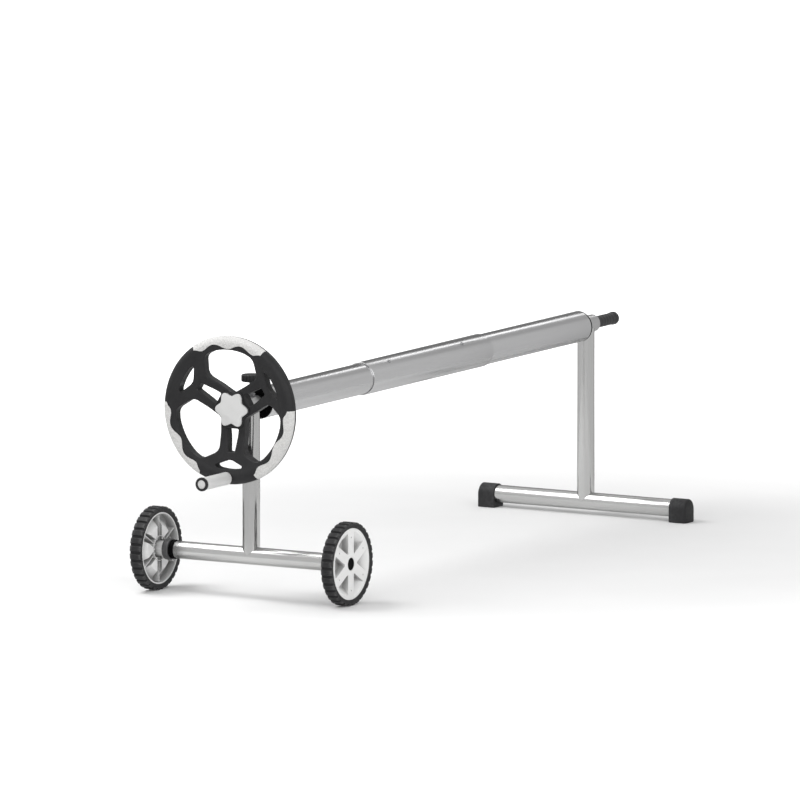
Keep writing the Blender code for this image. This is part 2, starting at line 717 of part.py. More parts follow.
def flare_outline():
    """Curved triangle where a spoke spreads into the rim."""
    outer = RIM_INNER_RADIUS - FLARE_RIM_GAP
    corner = outer - 0.009
    right = (FLARE_HALF_WIDTH, corner, CUTOUT_CORNER_RADIUS)
    left = (-FLARE_HALF_WIDTH, corner, CUTOUT_CORNER_RADIUS)
    apex = (0, outer - FLARE_HEIGHT, 10 * CUTOUT_CORNER_RADIUS)
    return rounded([apex, right] + rim_arc(outer, 12) + [left])


def star(margin, per_lobe):
    """Outline of the star knob, larger all round by margin."""
    outline = []
    count = per_lobe * KNOB_LOBES
    for i in range(count):
        angle = 2 * pi * i / count
        radius = KNOB_MEAN_RADIUS + margin - KNOB_LOBE_HEIGHT * cos(KNOB_LOBES * angle)
        outline.append((radius * sin(angle), radius * cos(angle)))
    return outline


def offset_line(points, distance):
    """Moves a line of (radius, depth) points off the rim, its first end forwards and its last outwards."""
    moved = [(points[0][0], points[0][1] + distance)]
    for before, point, after in zip(points, points[1:], points[2:]):
        along = (Vector(after) - Vector(before)).normalized()
        moved.append((point[0] - along.y * distance, point[1] + along.x * distance))
    moved.append((points[-1][0] + distance, points[-1][1]))
    return moved


def grip_edge(turn, grow):
    """Radius of a grip's wavy inner edge at an angle from the grip's middle, narrower towards its ends."""
    width = GRIP_MEAN_WIDTH + GRIP_WAVE_HEIGHT * cos(2 * pi * turn / GRIP_WAVE_ANGLE)
    width -= GRIP_TAPER * (turn / GRIP_HALF_ANGLE) ** 2
    left = max(GRIP_HALF_ANGLE - abs(turn), 0) / GRIP_CORNER_ANGLE
    if left < 1:
        width += (GRIP_END_WIDTH - width) * (1 - left) ** 1.5
    return WHEEL_RADIUS - width - grow


def grip_body(middle, sunk, proud, grow):
    """Soft cover over the rim's front and outside, thicker by sunk inside and by proud outside."""
    stations = 22
    outlines = []
    for station in range(stations + 1):
        share = 2 * station / stations - 1
        turn = GRIP_HALF_ANGLE * sin(share * pi / 2)
        edge = grip_edge(turn, grow)
        middle_edge = (edge + WHEEL_RADIUS - 0.010) / 2
        line = [(edge, rim_face(edge)), (middle_edge, rim_face(middle_edge))] + rim_section()[1:]
        line[-1] = (line[-1][0], line[-1][1] - grow)
        seat = offset_line(line[:2] + line[3::2], -sunk)
        seat[1] = (seat[1][0], seat[0][1])
        section = offset_line(line, proud) + seat[::-1]
        angle = middle + turn + share * grow / RIM_INNER_RADIUS
        outlines.append([(-depth, radius * sin(angle), radius * cos(angle)) for radius, depth in section])
    body = lofted(outlines)
    bmesh.ops.triangulate(body, faces=body.faces, quad_method="FIXED")
    return body


def handwheel_parts(reel):
    handwheel(reel)
    for angle, name in zip(SPOKE_ANGLES, ("right", "top", "left")):
        piece(name + "_rim_grip", grip_body(angle + pi, GRIP_SUNK, GRIP_PROUD, 0.0), "grip", reel)
    pad_face = SPOKE_FRONT + STAR_PAD
    knob_back = pad_face + GAP
    washer_back = pad_face - NUT_RECESS + GAP
    washer_front = washer_back + WASHER_THICKNESS
    stud_end = knob_back + 0.0015
    nut_axis = empty("wheel_nut_axis", (0, 0, 0), reel)
    bore = STUD_RADIUS + RUNNING_GAP
    washer = ring(bore, KNOB_BOSS_RADIUS - 0.001, -washer_front, -washer_back, BUSH_SIDES)
    piece("wheel_nut_washer", washer, "dark_steel", nut_axis)
    knob = piece("star_knob", star_knob(knob_back), "grip", nut_axis)
    join(knob, rod(KNOB_BOSS_RADIUS, -knob_back - 0.001, -washer_front - GAP, BUSH_SIDES))
    cut(knob, rod(STUD_RADIUS + RUNNING_GAP, -stud_end - GAP, 0, BOLT_SIDES))
    crank(reel)
    return stud_end


def star_knob(back):
    bevel = 0.0012
    outlines = []
    levels = ((back, 0), (back + KNOB_THICKNESS - bevel, 0), (back + KNOB_THICKNESS, bevel))
    for depth, inset in levels:
        outlines.append([(-depth, u, v) for u, v in star(-inset, 6)])
    return lofted(outlines)


def crank(reel):
    """Turning grip on a bolt that stands out of the rim."""
    axis = empty("crank_axis", (0, 0, -CRANK_RADIUS), reel)
    foot = RIM_FRONT + 0.001
    end = HANDWHEEL_REACH
    head = end - CRANK_HEAD_INSET
    root = -RIM_FRONT + RIM_DEPTH - 0.0035
    bolt = turned(
        [
            (0, root),
            (CRANK_BOLT_RADIUS, root),
            (CRANK_BOLT_RADIUS, -head),
            (CRANK_HEAD_RADIUS, -head),
            (CRANK_HEAD_RADIUS, -head - CRANK_HEAD_HEIGHT),
            (0, -head - CRANK_HEAD_HEIGHT),
        ],
        BOLT_SIDES,
    )
    piece("crank_bolt", bolt, "dark_steel", reel, axis.location)
    bore = CRANK_BOLT_RADIUS + RUNNING_GAP
    mouth = end - 0.006 - GAP
    sleeve = turned(
        [
            (bore, -foot),
            (CRANK_GRIP_RADIUS - 0.001, -foot),
            (CRANK_GRIP_RADIUS, -foot - 0.002),
            (CRANK_GRIP_RADIUS, -mouth),
            (CRANK_SOCKET_RADIUS, -mouth),
            (CRANK_SOCKET_RADIUS, -head + GAP),
            (bore, -head + GAP),
        ],
        BUSH_SIDES,
    )
    piece("crank_grip", sleeve, "grip", axis)
    rim = turned(
        [
            (CRANK_RING_BORE, -mouth + CRANK_RING_DEPTH),
            (CRANK_SPIGOT_RADIUS, -mouth + CRANK_RING_DEPTH),
            (CRANK_SPIGOT_RADIUS, -mouth - GAP),
            (CRANK_RING_RADIUS, -mouth - GAP),
            (CRANK_RING_RADIUS, -end + CRANK_RING_BEVEL),
            (CRANK_RING_RADIUS - CRANK_RING_BEVEL, -end),
            (CRANK_CAP_RADIUS + GAP, -end),
            (CRANK_CAP_RADIUS + GAP, -end + CRANK_RING_DEPTH),
            (CRANK_RING_BORE, -end + CRANK_RING_DEPTH),
        ],
        BUSH_SIDES,
    )
    piece("crank_end_ring", rim, "black_plastic", axis)
    lens = turned(
        [
            (0, -end),
            (0.006, -end + 0.0004),
            (CRANK_CAP_RADIUS, -end + CRANK_RING_BEVEL),
            (CRANK_CAP_RADIUS, -end + CRANK_RING_DEPTH - GAP),
            (0, -end + CRANK_RING_DEPTH - GAP),
        ],
        BUSH_SIDES,
    )
    piece("crank_end_cap", lens, "grip", axis)


def near_reel(reel, stud_end):
    """Near tube with its cap and the shaft that carries the handwheel."""
    end = SLEEVE_START + TUBE_OVERLAP
    tube = ring(REEL_RADIUS - REEL_WALL, REEL_RADIUS, TUBE_START, end, REEL_SIDES)
    piece("near_tube", tube, "aluminium", reel)
    end_cap("near_end_cap", CAP_FACE, 1, reel)
    shaft_pin("near_shaft_pin", CAP_FACE, 1, reel)
    inner_end = TUBE_START + CAP_BOSS + 0.002
    shoulder = SHAFT_SHOULDER
    body = turned(
        [
            (0, -stud_end),
            (STUD_RADIUS, -stud_end),
            (STUD_RADIUS, -shoulder + 0.001),
            (SHAFT_RADIUS, -shoulder),
            (SHAFT_RADIUS, inner_end),
            (0, inner_end),
        ],
        BUSH_SIDES,
    )
    shaft = piece("near_shaft", body, "steel", reel)
    half = SQUARE_END / 2
    square = [(-half, -half), (half, -half), (half, half), (-half, half)]
    join(shaft, prism(square, -SPOKE_FRONT - STAR_PAD + 0.0100, -shoulder + 0.002))
    cut(shaft, pin_hole(CAP_FACE, 1, PIN_RADIUS + GAP))


def sleeve(reel):
    """Outer tube that joins the two reel tubes, with its clamp screws."""
    slider = empty("sleeve_slider", (0, 0, 0), reel)
    start, end = SLEEVE_START, SLEEVE_START + SLEEVE_LENGTH
    tube = piece("sleeve", ring(SLEEVE_BORE, SLEEVE_RADIUS, start, end, REEL_SIDES), "aluminium", slider)
    tilt = Matrix.Rotation(SCREW_ANGLE, 4, "X")
    places = (("near", start + NEAR_SCREW_INSET), ("far", end - FAR_SCREW_INSET))
    holes = []
    for name, place in places:
        move = Matrix.Translation((place, 0, 0)) @ tilt
        hole = rod(SCREW_RADIUS + GAP, SLEEVE_BORE - 0.01, SLEEVE_RADIUS + 0.01, BOLT_SIDES, ALONG_Z)
        bmesh.ops.transform(hole, matrix=move, verts=hole.verts)
        holes.append(hole)
        seat = SLEEVE_RADIUS + GAP
        screw = turned(
            [
                (0, SLEEVE_BORE),
                (SCREW_RADIUS, SLEEVE_BORE),
                (SCREW_RADIUS, seat),
                (SCREW_HEAD_RADIUS, seat),
                (SCREW_HEAD_RADIUS * 0.75, seat + SCREW_HEAD_HEIGHT * 0.7),
                (0, seat + SCREW_HEAD_HEIGHT),
            ],
            BOLT_SIDES,
            ALONG_Z,
        )
        bmesh.ops.transform(screw, matrix=move, verts=screw.verts)
        piece(name + "_sleeve_screw", screw, "dark_steel", slider)
    cut(tube, merged(holes))
    return slider


def far_reel(slider):
    """Far tube with its cap and the shaft that turns in the far stand."""
    far = empty("far_tube_slider", (STAND_SPACING, 0, 0), slider)
    start = SLEEVE_START + SLEEVE_LENGTH - TUBE_OVERLAP - STAND_SPACING
    tube = ring(REEL_RADIUS - REEL_WALL, REEL_RADIUS, start, -TUBE_START, REEL_SIDES)
    piece("far_tube", tube, "aluminium", far)
    end_cap("far_end_cap", -CAP_FACE, -1, far)
    shaft_pin("far_shaft_pin", -CAP_FACE, -1, far)
    body = rod(SHAFT_RADIUS, -TUBE_START - CAP_BOSS - 0.002, 0.004, BUSH_SIDES)
    shaft = piece("far_shaft", body, "steel", far)
    cut(shaft, pin_hole(-CAP_FACE, -1, PIN_RADIUS + GAP))
    return far


def far_stand(far):
    stand = empty("far_stand", (0, 0, -REEL_HEIGHT), far)
    upright("far_upright", BASE_TUBE_HEIGHT, stand)
    half = BASE_TUBE_LENGTH / 2
    base = ring(CROSS_RADIUS - STAND_WALL, CROSS_RADIUS, -half, half, TUBE_SIDES, ALONG_Y)
    piece("base_tube", base, "steel", stand, (0, 0, BASE_TUBE_HEIGHT))
    housing("far_housing", 1, stand)
    inner_bush("far_inner_bush", 1, stand)
    for side, name in ((1, "left"), (-1, "right")):
        foot(name, side, stand)
    handle(stand)


def foot(name, side, stand):
    """Cap on the end of the base tube, with an arched top, a flat bottom and a rounded outer end."""
    half = CROSS_RADIUS + GAP + FOOT_WALL
    centre = BASE_TUBE_HEIGHT + FOOT_ARCH_LIFT
    radius = FOOT_BOTTOM_RADIUS
    arch = [(half * cos(pi * i / 12), centre + half * sin(pi * i / 12)) for i in range(13)]
    corners = [(-half, radius), (radius - half, 0), (half - radius, 0), (half, radius)]
    outline = arch + corners
    outer = BASE_TUBE_LENGTH / 2 + GAP + FOOT_END_WALL
    outlines = []
    for inset, scale in ((FOOT_LENGTH, 1.0), *FOOT_END_ROUNDING):
        outlines.append([(u * scale, side * (outer - inset), v * scale) for u, v in outline])
    cap = piece(name + "_foot", lofted(outlines), "black_plastic", stand)
    open_end = side * (outer - FOOT_LENGTH - 0.01)
    closed_end = side * (outer - FOOT_END_WALL)
    socket = rod(CROSS_RADIUS + GAP, open_end, closed_end, TUBE_SIDES, ALONG_Y)
    bmesh.ops.translate(socket, vec=(0, 0, BASE_TUBE_HEIGHT), verts=socket.verts)
    cut(cap, socket)


def handle(stand):
    """Fixed lifting handle: a core plugged into the housing and a ribbed grip over it."""
    mouth = HOUSING_OUTER_REACH
    tip = HANDLE_REACH
    core = turned(
        [
            (0, HANDLE_PLUG_START),
            (HOUSING_BORE - GAP, HANDLE_PLUG_START),
            (HOUSING_BORE - GAP, mouth),
            (HANDLE_CORE_RADIUS, mouth),
            (HANDLE_CORE_RADIUS, tip - HANDLE_END_WALL),
            (0, tip - HANDLE_END_WALL),
        ],
        BUSH_SIDES,
    )
    piece("handle_core", core, "steel", stand, (0, 0, REEL_HEIGHT))
    start = mouth + GAP
    flange = tip - HANDLE_END_LENGTH
    bore = HANDLE_CORE_RADIUS + GAP
    profile = [(bore, start), (HANDLE_GRIP_RADIUS, start)]
    pitch = (flange - start) / HANDLE_RIBS
    for rib in range(HANDLE_RIBS):
        middle = start + (rib + 0.5) * pitch
        profile.append((HANDLE_GRIP_RADIUS - HANDLE_RIB_DEPTH, middle))
        profile.append((HANDLE_GRIP_RADIUS, middle + pitch / 2))
    profile += [
        (HANDLE_END_RADIUS, flange + 0.002),
        (HANDLE_END_RADIUS, tip - 0.003),
        (HANDLE_END_RADIUS - 0.002, tip),
        (0, tip),
        (0, tip - HANDLE_END_WALL + GAP),
        (bore, tip - HANDLE_END_WALL + GAP),
    ]
    body = turned_open(profile, BUSH_SIDES)
    piece("handle_grip", body, "rubber", stand, (0, 0, REEL_HEIGHT))


def turned_open(profile, sides):
    """Turned body whose profile meets the axis in two neighbouring points, with no side between them."""
    split = next(i for i, point in enumerate(profile) if point[0] == 0) + 1
    return turned(profile[split:] + profile[:split], sides)


def main():
    clear_scene()
    near_stand()
    reel = empty("reel_axis", (NEAR_X, 0, REEL_HEIGHT))
    stud_end = handwheel_parts(reel)
    near_reel(reel, stud_end)
    slider = sleeve(reel)
    far = far_reel(slider)
    far_stand(far)


main()
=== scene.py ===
import json
from math import asin, atan2, cos, hypot, pi, radians, sin, sqrt, tan

import bmesh
import bpy
import numpy as np
from mathutils import Matrix, Vector
from mathutils.geometry import delaunay_2d_cdt


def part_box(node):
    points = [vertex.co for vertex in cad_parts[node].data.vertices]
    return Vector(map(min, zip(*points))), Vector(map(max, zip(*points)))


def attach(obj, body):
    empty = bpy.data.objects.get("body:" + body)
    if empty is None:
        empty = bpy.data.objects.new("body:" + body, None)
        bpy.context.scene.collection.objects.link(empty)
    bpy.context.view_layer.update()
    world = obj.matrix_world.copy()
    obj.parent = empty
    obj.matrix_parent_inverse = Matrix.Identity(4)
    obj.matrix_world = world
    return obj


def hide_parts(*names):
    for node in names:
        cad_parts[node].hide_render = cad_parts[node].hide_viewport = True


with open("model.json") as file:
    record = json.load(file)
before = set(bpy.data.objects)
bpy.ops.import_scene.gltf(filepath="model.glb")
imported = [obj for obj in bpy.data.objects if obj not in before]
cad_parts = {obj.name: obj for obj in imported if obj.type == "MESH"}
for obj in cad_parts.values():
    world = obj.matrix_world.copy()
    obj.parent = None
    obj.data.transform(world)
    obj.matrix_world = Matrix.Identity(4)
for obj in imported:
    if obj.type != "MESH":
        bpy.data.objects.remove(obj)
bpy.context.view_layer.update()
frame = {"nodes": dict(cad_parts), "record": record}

# Lengths of pieces are in millimetres, and a depth counts from the near post towards the handwheel.
# Those of finishes, lamps, floor and camera are in metres.
MM = 0.001
SLOT_OF = {row["node"]: row["material_slot"] for row in frame["record"]["subparts"]}


def middle(node):
    low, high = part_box(node)
    return (low + high) / 2


NEAR_X = middle("near_upright").x
FAR_X = middle("far_upright").x
REEL_Z = middle("sleeve").z
AXLE_Z = middle("axle_tube").z
BASE_Z = middle("base_tube").z
NEAR_AXIS = Vector((NEAR_X, 0, REEL_Z))
FAR_AXIS = Vector((FAR_X, 0, REEL_Z))

ALONG_X = Matrix.Rotation(pi / 2, 4, "Y")
ALONG_Y = Matrix.Rotation(-pi / 2, 4, "X")
ALONG_Z = Matrix.Identity(4)
# The way out of the reel at its left side and its right side.
OUTWARD = {1: ALONG_Y, -1: Matrix.Rotation(pi / 2, 4, "X")}

GAP = 0.3
CROSS_RADIUS = 21.2
POST_RADIUS = 21.0
WALL = 1.5
HOUSING_WALL = 2
HOUSING_OUTER_REACH = 32.6
HOUSING_INNER_REACH = 22
BUSH_DEPTH = 14
BUSH_BORE = 11.4
OUTER_FLANGE = 3
INNER_FLANGE = 10.6
AXLE_TUBE_END = 205
COLLAR_THICKNESS = 12.4
PLUG_DEPTH = 35
FOOT_EDGE = 5.0
FOOT_END_WALL = 5.5

LOCK_BOLT_RADIUS = 5.0
LOCK_BORE = 5.4
LOCK_THREAD_PITCH = 1.5
LOCK_THREAD_DEPTH = 0.55
LOCK_NUT_FLATS = 17.0
LOCK_NUT_HEIGHT = 8
LOCK_KNOB_RADIUS = 24
LOCK_FLUTES = 18
LOCK_FLUTE_DEPTH = 1.4

HANDLE_RADIUS = 14.7
HANDLE_END_RADIUS = 15.7
HANDLE_RIBS = 7
HANDLE_RIB_DEPTH = 0.8

REEL_RADIUS = 37.5
REEL_WALL = 1.5
SLEEVE_RADIUS = 40.0
SLEEVE_WALL = 2.1
SCREW_ANGLE = radians(35.5)
CAP_FACE = 34
CAP_FLANGE = 5
CAP_SPIGOT = 25
CAP_BOSS = 35
CAP_BORE = 11.3

WHEEL_RADIUS = 177.5
RIM_WIDTH = 31.5
RIM_INNER = WHEEL_RADIUS - RIM_WIDTH
RIM_CREST = WHEEL_RADIUS - RIM_WIDTH / 2
RIM_FRONT = 115.5
RIM_CROWN = 4.5
SPOKES = (60, 180, 300)
SPOKE_FRONT = 88.0
SPOKE_HALF = 33.0
PAD_FACE = 91.0
PAD_MARGIN = 3.5
OPENING_HALF_WIDTH = 71
SLOT_HALF_WIDTH = 16.2
SLOT_TIP_HALF_WIDTH = 9.5
SLOT_START = 45.5
SLOT_END = 101.5
FLARE_HALF_WIDTH = 40
FLARE_HEIGHT = 24.5
CHAMFER_SHARES = (0, 0.12, 0.88, 1.0)
NUT_RECESS = 9.5
NUT_RECESS_RADIUS = 12.75
SHAFT_BORE = 11.3
GRIP_HALF_ANGLE = 33.5
GRIP_BACK = 99.0
GRIP_WAVE_ANGLE = 27
GRIP_END_WIDTH = 12.0
GRIP_HEIGHT = 0.8
GRIP_EDGE_HEIGHT = 0.06
GRIP_EDGE_WIDTH = 1.1
GRIP_SEAT = 0.03
KNOB_LOBES = 6
KNOB_MEAN_RADIUS = 38.5
KNOB_LOBE_HEIGHT = 5.5
CRANK_END = 236.0
CRANK_RADIUS = 15.5
CRANK_RING_RADIUS = 16.5
CRANK_LENS_RADIUS = 10.6

LUG_COUNT = 32
TYRE_VALLEY = 95.8
LUG_HEIGHT = 4.2
HUB_FACE = 12.0
HUB_BACK = -13.0
HUB_RIM = 85.7
HUB_WALL = 3
HUB_SPOKES = 6
HUB_SPOKE_HALF = 13
POCKET_DEPTH = 20
POCKET_TOP = 77.0
POCKET_FLOOR = 54.0
POCKET_SKIN = 2.6
BOSS_RADIUS = 18.3
BOSS_END = -45
BOLT_BORE = 6.4
RIB_HALF = 0.8
DENT_CIRCLE = 64


# Finishes


def add(tree, kind, settings=None, values=(), **inputs):
    """A shader node with its settings, its inputs by place, and its inputs by name."""
    made = tree.nodes.new("ShaderNode" + kind)
    for key, value in (settings or {}).items():
        setattr(made, key, value)
    pairs = list(enumerate(values)) + [(key.replace("_", " "), value) for key, value in inputs.items()]
    for key, value in pairs:
        if isinstance(value, bpy.types.NodeSocket):
            tree.links.new(value, made.inputs[key])
        elif value is not None:
            made.inputs[key].default_value = value
    return made


def math(tree, operation, *values, clamp=False):
    return add(tree, "Math", {"operation": operation, "use_clamp": clamp}, values).outputs[0]


def noise(tree, where, scale, detail):
    return add(tree, "TexNoise", Vector=where, Scale=scale, Detail=detail, Roughness=0.55).outputs["Fac"]


def ranged(tree, value, low, high, to_low, to_high):
    made = add(tree, "MapRange", {"interpolation_type": "SMOOTHSTEP"}, (value, low, high, to_low, to_high))
    return made.outputs[0]


def finish(
    name, colour, roughness, metallic, stretch, mottle, speck, sheen, bumps,
    wear_and_highlight=None, pimples_and_gap_shade=None, painted_hollow_shade=None, sockets=None,
):
    """A material whose colour, roughness and surface vary at the scale of the real one.

    mottle and speck are the scale and strength of broad and fine marks, and sheen is how far roughness
    varies. stretch pulls the marks out along an axis. bumps are pairs of scale and height.
    wear_and_highlight is the colour and strength of lighter convex edges, partly rubbed wear and partly
    painted highlight. pimples_and_gap_shade are the pimples' scale and height and the darkness of the
    shade painted into the gaps between them. painted_hollow_shade is the reach and darkness of the shade
    painted into hollows from ambient occlusion.
    """
    made = bpy.data.materials.new(name)
    made.use_nodes = True
    tree = made.node_tree
    shader = tree.nodes["Principled BSDF"]
    shader.inputs["Metallic"].default_value = metallic
    for key, value in (sockets or {}).items():
        shader.inputs[key].default_value = value
    where = add(tree, "TexCoord").outputs["Object"]
    along = add(tree, "Mapping", Vector=where, Scale=stretch).outputs[0]
    broad = noise(tree, along, mottle[0], 4.0)
    fine = noise(tree, along, speck[0], 2.0)
    value = math(tree, "ADD", ranged(tree, broad, 0.25, 0.75, 1 - mottle[1], 1 + mottle[1]),
                 ranged(tree, fine, 0.3, 0.7, -speck[1], speck[1]))
    # Shade painted into hollows: ambient occlusion darkens the colour there.
    if painted_hollow_shade:
        hollow = add(tree, "AmbientOcclusion", {"samples": 8, "only_local": True}, Distance=painted_hollow_shade[0])
        value = math(tree, "MULTIPLY", value, ranged(tree, hollow.outputs["AO"], 0.25, 0.95, painted_hollow_shade[1], 1))
    # Shade painted between the pimples: the colour darkens towards the edges of each cell.
    if pimples_and_gap_shade:
        cells = add(tree, "TexVoronoi", Vector=where, Scale=pimples_and_gap_shade[0]).outputs["Distance"]
        value = math(tree, "MULTIPLY", value, ranged(tree, cells, 0.25, 0.75, 1, pimples_and_gap_shade[2]))
    tint = add(tree, "HueSaturation", Value=value, Color=(*colour, 1)).outputs[0]
    # Lighter convex edges, partly rubbed wear and partly a painted highlight.
    if wear_and_highlight:
        edge = ranged(tree, add(tree, "NewGeometry").outputs["Pointiness"], 0.515, 0.60, 0, wear_and_highlight[1])
        patches = ranged(tree, noise(tree, where, 160, 3), 0.35, 0.65, 0.3, 1)
        rubbed_and_highlit = math(tree, "MULTIPLY", edge, patches, clamp=True)
        mix = add(tree, "Mix", {"data_type": "RGBA"})
        tree.links.new(rubbed_and_highlit, mix.inputs[0])
        tree.links.new(tint, mix.inputs[6])
        mix.inputs[7].default_value = (*wear_and_highlight[0], 1)
        tint = mix.outputs[2]
    tree.links.new(tint, shader.inputs["Base Color"])
    gloss = noise(tree, along, mottle[0] * 6, 3.0)
    dullness = ranged(tree, gloss, 0.3, 0.7, roughness - sheen, roughness + sheen)
    tree.links.new(dullness, shader.inputs["Roughness"])
    normal = None
    for scale, depth in bumps:
        height = noise(tree, along, scale, 2.0)
        normal = add(tree, "Bump", Strength=1.0, Distance=depth, Height=height, Normal=normal).outputs[0]
    if pimples_and_gap_shade:
        pits = {"Strength": 1.0, "Distance": pimples_and_gap_shade[1], "Height": cells, "Normal": normal}
        normal = add(tree, "Bump", {"invert": True}, **pits).outputs[0]
    tree.links.new(normal, shader.inputs["Normal"])
    return made


STREAKS = {"x": (0.04, 1, 1), "y": (1, 0.04, 1), "z": (1, 1, 0.04)}


def steel(name, axis, roughness=0.15):
    return finish(
        name, (0.60, 0.60, 0.595), roughness, 1.0, STREAKS[axis], (60, 0.03), (500, 0.02), 0.012,
        bumps=((350, 0.0000006),), sockets={"Specular Tint": (0.72, 0.72, 0.72, 1)},
    )


# The lighter edge colours below are partly rubbed wear and partly a painted highlight on convex edges.
FINISHES = {
    "steel_y": steel("polished_steel_y", "y", 0.25),
    "stand_steel": steel("polished_steel_z", "z"),
    "housing_metal": finish(
        "satin_housing", (0.50, 0.50, 0.50), 0.36, 1.0, (0.2, 1, 1), (45, 0.05), (900, 0.03), 0.05,
        bumps=((900, 0.000015),),
    ),
    "fastener_steel": finish(
        "fastener_steel", (0.42, 0.42, 0.43), 0.30, 1.0, (1, 1, 1), (90, 0.10), (1500, 0.05), 0.08,
        bumps=((1800, 0.00002),),
    ),
    "reel_aluminium": finish(
        "satin_aluminium", (0.63, 0.63, 0.635), 0.24, 1.0, STREAKS["x"], (60, 0.02), (700, 0.015), 0.02,
        bumps=((500, 0.0000015),), sockets={"Specular Tint": (0.72, 0.72, 0.72, 1)},
    ),
    # Its hollows, such as the walls of the handwheel's cut-outs, get painted shade.
    "black_plastic": finish(
        "black_plastic", (0.026, 0.026, 0.027), 0.48, 0.0, (1, 1, 1), (25, 0.10), (1600, 0.08), 0.06,
        wear_and_highlight=((0.085, 0.085, 0.088), 0.9), bumps=((1500, 0.00005), (380, 0.00004)), painted_hollow_shade=(0.03, 0.45),
        sockets={"Specular IOR Level": 0.14},
    ),
    "deep_black": finish(
        "deep_black_plastic", (0.0025, 0.0025, 0.0027), 0.5, 0.0, (1, 1, 1), (30, 0.15), (1500, 0.10), 0.06,
        wear_and_highlight=((0.04, 0.04, 0.042), 0.9), bumps=((1500, 0.00004),), sockets={"Specular IOR Level": 0.03},
    ),
    # Its pockets and hollows get painted shade.
    "hub_plastic": finish(
        "pale_hub_plastic", (0.78, 0.78, 0.775), 0.36, 0.0, (1, 1, 1), (18, 0.03), (1400, 0.015), 0.05,
        wear_and_highlight=((0.86, 0.86, 0.855), 0.6), bumps=((1500, 0.00002), (260, 0.00002)), painted_hollow_shade=(0.035, 0.42),
    ),
    "sleeve_plastic": finish(
        "dark_sleeve_plastic", (0.075, 0.075, 0.077), 0.45, 0.0, (1, 1, 1), (40, 0.10), (1500, 0.06), 0.06,
        wear_and_highlight=((0.16, 0.16, 0.16), 0.8), bumps=((1500, 0.00003),),
    ),
    "grey_plastic": finish(
        "light_grey_plastic", (0.62, 0.62, 0.615), 0.40, 0.0, (1, 1, 1), (18, 0.035), (1400, 0.02), 0.06,
        wear_and_highlight=((0.74, 0.74, 0.74), 0.6), bumps=((1500, 0.00003), (260, 0.00003)),
    ),
    # The gaps between its pimples get painted shade.
    "soft_grip": finish(
        "soft_grip", (0.66, 0.655, 0.645), 0.58, 0.0, (1, 1, 1), (30, 0.05), (900, 0.03), 0.06,
        wear_and_highlight=((0.74, 0.735, 0.725), 0.5), bumps=((700, 0.00004),), pimples_and_gap_shade=(270, 0.0012, 0.87),
    ),
    "grip_rubber": finish(
        "grip_rubber", (0.024, 0.024, 0.025), 0.60, 0.0, (1, 1, 1), (40, 0.12), (1800, 0.10), 0.07,
        wear_and_highlight=((0.07, 0.07, 0.07), 0.7), bumps=((1600, 0.00006),),
    ),
    "tyre_rubber": finish(
        "tyre_rubber", (0.0195, 0.0195, 0.0205), 0.60, 0.0, (1, 1, 1), (28, 0.12), (1300, 0.10), 0.08,
        wear_and_highlight=((0.11, 0.11, 0.11), 1.0), bumps=((1100, 0.00008), (260, 0.00005)),
        sockets={"Specular IOR Level": 0.25},
    ),
}


# Mesh making


def rounded(corners, steps=4):
    """Closed outline through corners given as (u, v) or (u, v, radius), the latter rounded by an arc."""
    outline = []
    for i, corner in enumerate(corners):
        u, v = corner[:2]
        radius = corner[2] if len(corner) > 2 else 0
        point = Vector((u, v))
        if radius == 0:
            outline.append((u, v))
            continue
        before = Vector(corners[i - 1][:2]) - point
        after = Vector(corners[(i + 1) % len(corners)][:2]) - point
        reach = 0.49 * min(before.length, after.length)
        before.normalize()
        after.normalize()
        half = before.angle(after) / 2
        radius = min(radius, reach * tan(half))
        centre = point + (before + after).normalized() * radius / sin(half)
        start = point + before * radius / tan(half) - centre
        end = point + after * radius / tan(half) - centre
        first = atan2(start.y, start.x)
        sweep = (atan2(end.y, end.x) - first + pi) % (2 * pi) - pi
        for step in range(steps + 1):
            angle = first + sweep * step / steps
            outline.append((centre.x + radius * cos(angle), centre.y + radius * sin(angle)))
    return outline


def turned(profile, sides, shape=None):
    """A closed profile of (radius, distance) or (radius, distance, fillet) about Z, bent by shape."""
    body = bmesh.new()
    rings = []
    for radius, distance in rounded(profile):
        if radius < 1e-6:
            rings.append([body.verts.new((0, 0, distance))])
            continue
        turns = [2 * pi * i / sides for i in range(sides)]
        if shape:
            places = [shape(radius, turn, distance) for turn in turns]
        else:
            places = [(radius * cos(turn), radius * sin(turn), distance) for turn in turns]
        rings.append([body.verts.new(place) for place in places])
    for low, high in zip(rings, rings[1:] + rings[:1]):
        if len(low) == 1 and len(high) == 1:
            continue
        for i in range(sides):
            j = (i + 1) % sides
            quad = (low[i % len(low)], low[j % len(low)], high[j % len(high)], high[i % len(high)])
            body.faces.new(list(dict.fromkeys(quad)))
    return body


def lofted(rows, closed=False):
    """Joins outlines of equally many points. closed joins last to first, and else both ends are capped."""
    body = bmesh.new()
    made = [[body.verts.new(point) for point in row] for row in rows]
    pairs = list(zip(made, made[1:] + made[:1]))
    for low, high in pairs if closed else pairs[:-1]:
        for i in range(len(low)):
            body.faces.new((low[i - 1], low[i], high[i], high[i - 1]))
    if not closed:
        body.faces.new(made[0])
        body.faces.new(made[-1])
    return body


def placed(body, axis, centre):
    """The body, made in millimetres about Z, laid along an axis at a centre in metres."""
    matrix = Matrix.Translation(centre) @ axis @ Matrix.Scale(MM, 4)
    bmesh.ops.transform(body, matrix=matrix, verts=body.verts)
    return body


def mesh_object(name, body):
    bmesh.ops.recalc_face_normals(body, faces=body.faces)
    mesh = bpy.data.meshes.new(name)
    body.to_mesh(mesh)
    body.free()
    obj = bpy.data.objects.new(name, mesh)
    bpy.context.scene.collection.objects.link(obj)
    return obj


